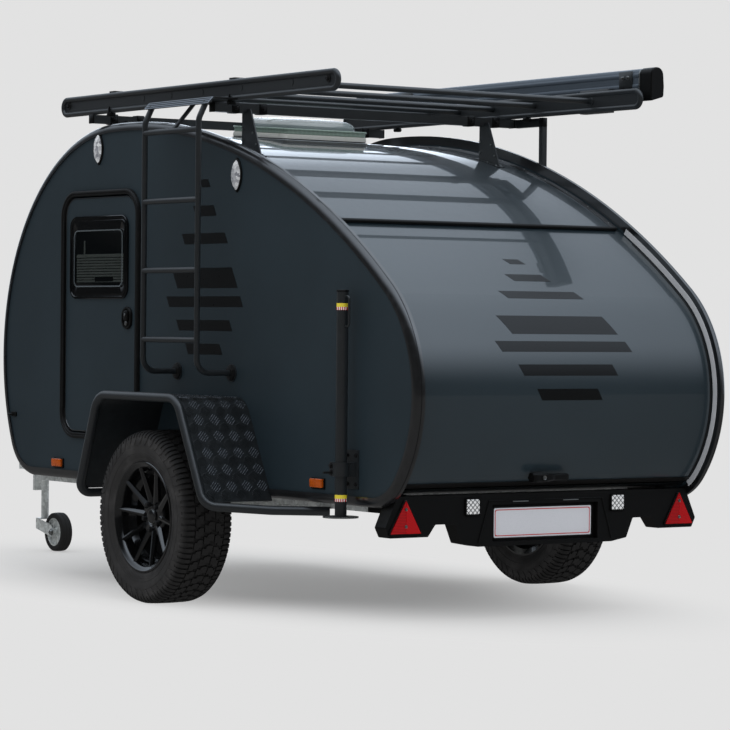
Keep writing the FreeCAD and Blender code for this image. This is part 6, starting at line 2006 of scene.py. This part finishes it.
class TRAILER_OT_inside(Fitting, bpy.types.Operator):
    """Plywood galley and a crowned, sewn mattress with piped edges"""
    bl_idname = "trailer.inside"
    bl_label = "Inside"

    def make(self, scene):
        look = scene.trailer_inside
        paint(birch_ply(), "galley")
        low, high, middle = corners("mattress")
        half = (high - low) / 2 - (.006, .006, 0)
        ends = [self.edge(middle, half, 1.0, level) for level in (low[2] + .010, high[2] - .016)]
        body = piece("mattress_cover", [self.pad(look, low, high, middle, half)],
                     mattress_cloth(), smooth=60, stands_for=["mattress"])
        piping = [hoop(.0042, line) for line in ends]
        piece("mattress_piping", piping, rubber_black(), slot="mattress_fabric")

    def edge(self, middle, half, share, level):
        """The mattress's outline at a share of its size: sides drawn in between the corners.

        Each point of a rounded rectangle moves in by 0.010 * (1 - s^2), for its share s along
        its side.
        """
        line = oblong(0, 0, 2 * half[0] * share, 2 * half[1] * share, .070 * share + .004, 8)
        closed = np.concatenate([line, line[:1]])
        length = lengths(closed)
        at = np.linspace(0, length[-1], 640, endpoint=False)
        line = np.stack([np.interp(at, length, closed[:, i]) for i in (0, 1)], 1)
        across = line / half[:2]
        drawn = .010 * (1 - across[:, ::-1] ** 2) * (np.abs(across) > .5 * share)
        line = line - np.sign(line) * drawn
        return laid(line, level, "Z") + (middle[0], middle[1], 0)

    def pad(self, look, low, high, middle, half):
        """Closed loops from under the mattress, round its bulging side and over its crown.

        The top stands crown * (1 - u^4) * (1 - v^4) over its edge, less a groove
        0.012 * exp(-(d / 0.014)^2) at a distance d from each seam.
        """
        loops = [self.edge(middle, half, share, low[2]) for share in (.02, .5, .97)]
        for share in np.linspace(0, 1, 9):
            bulge = half + (.010 * math.sin(math.pi * share) - .004)
            loops.append(self.edge(middle, bulge, 1.0,
                                   low[2] + .010 + (high[2] - low[2] - .026) * share))
        seams = np.arange(low[0] + look.seam_step, high[0] - .1, look.seam_step)
        for share in (*np.linspace(.992, .90, 8), *np.linspace(.88, .02, 44)):
            loop = self.edge(middle, half, share, high[2])
            u, v = (loop[:, 0] - middle[0]) / half[0], (loop[:, 1] - middle[1]) / half[1]
            crown = (1 - u ** 4).clip(0) * (1 - v ** 4).clip(0)
            groove = sum(np.exp(-((loop[:, 0] - seam) / .014) ** 2) for seam in seams)
            groove += np.exp(-((loop[:, 1] - middle[1]) / .014) ** 2)
            rise = -.016 + .014 * min(1, (1 - share) / .09) ** .5 + look.crown * crown
            loop[:, 2] += rise - .010 * np.minimum(groove, 1) * min(1, (1 - share) / .05)
            loops.append(loop)
        return capped(np.stack(loops))


# ---- Stage ----

class TrailerStage(bpy.types.PropertyGroup):
    """Camera, floor and light"""
    eye: bpy.props.FloatVectorProperty(
        name="Eye", description="Where the camera stands", subtype="TRANSLATION", size=3,
        default=(-11.96618, 7.72557, 1.20257))
    turn: bpy.props.FloatVectorProperty(
        name="Turn", description="How the camera is turned", subtype="EULER", size=3,
        default=tuple(math.radians(a) for a in (89.19486, -0.56130, -124.75056)))
    lens: number_of("Lens", "Focal length in millimetres on a 36 mm sensor", 150.706, least=1.0)
    floor: colour_of("Floor", "Pale floor and backdrop", (226, 226, 226))
    overhead: number_of("Overhead", "Power of the overhead lamp in watts", 110.0, subtype="POWER",
                        unit="POWER")
    room: number_of("Room", "Strength of the light all round", 0.80)
    lift: number_of("Lift", "Least share of plain light on the floor", 0.30, max=1.0)
    ground: number_of("Ground", "How bright gloss sees the floor", 0.12)
    sky: colour_of("Sky", "Sky that gloss sees", (214, 226, 240))


SKY_PEAK = 1.8      # the most that the sky's spread reaches, so that its share stays under 1


class TRAILER_OT_stage(bpy.types.Operator):
    """Pale floor, soft light and the camera"""
    bl_idname = "trailer.stage"
    bl_label = "Stage"

    def execute(self, context):
        scene = context.scene
        look = scene.trailer_stage
        scene.view_settings.view_transform = "Standard"
        self.floor(look)
        self.room(look)
        lamp = bpy.data.lights.new("overhead", "AREA")
        lamp.shape, lamp.size, lamp.size_y, lamp.energy = "RECTANGLE", 9.0, 7.0, look.overhead
        hung = bpy.data.objects.new("overhead", lamp)
        hung.location = (-1.0, 0.5, 6.5)
        hung.visible_glossy = False
        scene.collection.objects.link(hung)
        eye = bpy.data.cameras.new("camera")
        eye.lens, eye.sensor_width, eye.clip_end = look.lens, 36.0, 200.0
        camera = bpy.data.objects.new("camera", eye)
        camera.location, camera.rotation_euler = look.eye, look.turn
        scene.collection.objects.link(camera)
        scene.camera = camera
        return {"FINISHED"}

    def floor(self, look):
        """A wide disc on the ground that takes the shadow and fades into the backdrop.

        Its light share goes from lit to plain with the distance from the trailer, and gloss
        sees it dim, as ground under the open sky.
        """
        spread = ring(60.0, 96)
        mesh = bpy.data.meshes.new("floor")
        mesh.from_pydata(np.concatenate([spread, np.zeros((96, 1))], 1).tolist(), [],
                         [list(range(96))])
        floor = bpy.data.objects.new("floor", mesh)
        bpy.context.scene.collection.objects.link(floor)
        made = Finish("floor", look.floor, 0.9, Specular_IOR_Level=0.0)
        x, y, _ = made.axes()
        far = (x * x * 0.2 + y * y).math("SQRT").ramp(0.5, 1.5, look.lift, 1.0)
        plain = made.add("ShaderNodeEmission", {}, look.floor, 1.0)
        dim = made.add("ShaderNodeEmission", {}, look.floor, look.ground)
        gloss = made.add("ShaderNodeLightPath", {}, output=3)
        lit = made.add("ShaderNodeMixShader", {}, far, Wire(made, made.shader.outputs[0]), plain)
        mixed = made.add("ShaderNodeMixShader", {}, gloss, lit, dim)
        made.links.new(mixed.socket, made.nodes["Material Output"].inputs[0])
        mesh.materials.append(made.material)

    def room(self, look):
        """Even light all round; camera and clear parts see the pale backdrop.

        Gloss sees a pale sky that falls away towards the ground behind the camera, with
        z + 0.4 x - 0.5 y of the direction. It is brighter behind the trailer and ahead of
        it, near the horizon, and duller to the right.
        """
        world = bpy.data.worlds.new("room")
        bpy.context.scene.world = world
        world.use_nodes = True
        made = Wiring(world.node_tree)
        x, y, z = made.axes(made.add("ShaderNodeTexCoord", {}))
        spread = 0.78 - x * 0.45 + x.ramp(0.68, 0.82) * y.ramp(-0.54, -0.2, 1.4, 0.0)
        share = (z + x * 0.4 - y * 0.5).ramp(0.08, 0.70) * spread * y.ramp(-0.66, -0.57, 0.6, 1.0)
        bright = tuple(c * 1.7 * SKY_PEAK for c in look.sky)
        sky = made.blend(share / SKY_PEAK, (0.012, 0.013, 0.014), bright)
        light = Wire(made, made.nodes["Background"].outputs[0])
        made.nodes["Background"].inputs[0].default_value = (0.96, 0.98, 1.0, 1.0)
        made.nodes["Background"].inputs[1].default_value = look.room
        seen = made.add("ShaderNodeBackground", {}, look.floor, 1.0)
        shine = made.add("ShaderNodeBackground", {}, sky, 1.0)
        camera, gloss, clear = (made.add("ShaderNodeLightPath", {}, output=i) for i in (0, 3, 6))
        mixed = made.add("ShaderNodeMixShader", {}, gloss, light, shine)
        mixed = made.add("ShaderNodeMixShader", {}, camera.math("MAXIMUM", clear), mixed, seen)
        made.links.new(mixed.socket, made.nodes["World Output"].inputs[0])


SETTINGS = {"trailer_paint": TrailerPaint,
            "trailer_wheels": TrailerWheels,
            "trailer_body": TrailerBody,
            "trailer_doors": TrailerDoors,
            "trailer_fenders": TrailerFenders,
            "trailer_roof": TrailerRoof,
            "trailer_inside": TrailerInside,
            "trailer_stage": TrailerStage}
OPERATORS = (TRAILER_OT_tyres, TRAILER_OT_rims, TRAILER_OT_shell, TRAILER_OT_doors,
             TRAILER_OT_fenders, TRAILER_OT_skylight, TRAILER_OT_rack, TRAILER_OT_ladder,
             TRAILER_OT_legs, TRAILER_OT_rear, TRAILER_OT_lamps, TRAILER_OT_chassis,
             TRAILER_OT_inside, TRAILER_OT_stage)


class TRAILER_PT_panel(bpy.types.Panel):
    """Every setting and operator of the trailer, in the order they run"""
    bl_label = "Teardrop Trailer"
    bl_idname = "TRAILER_PT_panel"
    bl_space_type = "VIEW_3D"
    bl_region_type = "UI"
    bl_category = "Trailer"

    def draw(self, context):
        for name, group in SETTINGS.items():
            box = self.layout.box()
            box.label(text=name.split("_")[1].capitalize())
            for field in group.__annotations__:
                box.prop(getattr(context.scene, name), field)
        for operator in OPERATORS:
            self.layout.operator(operator.bl_idname)


def register():
    for part in (*SETTINGS.values(), *OPERATORS, TRAILER_PT_panel):
        bpy.utils.register_class(part)
    for name, group in SETTINGS.items():
        setattr(bpy.types.Scene, name, bpy.props.PointerProperty(type=group))


def unregister():
    for name in SETTINGS:
        delattr(bpy.types.Scene, name)
    for part in (TRAILER_PT_panel, *OPERATORS, *SETTINGS.values()):
        bpy.utils.unregister_class(part)


def main():
    """Dress the trailer, one operator after another."""
    register()
    for operator in OPERATORS:
        getattr(bpy.ops.trailer, operator.bl_idname.split(".")[1])()
    bpy.context.view_layer.update()


if __name__ == "__main__":
    main()
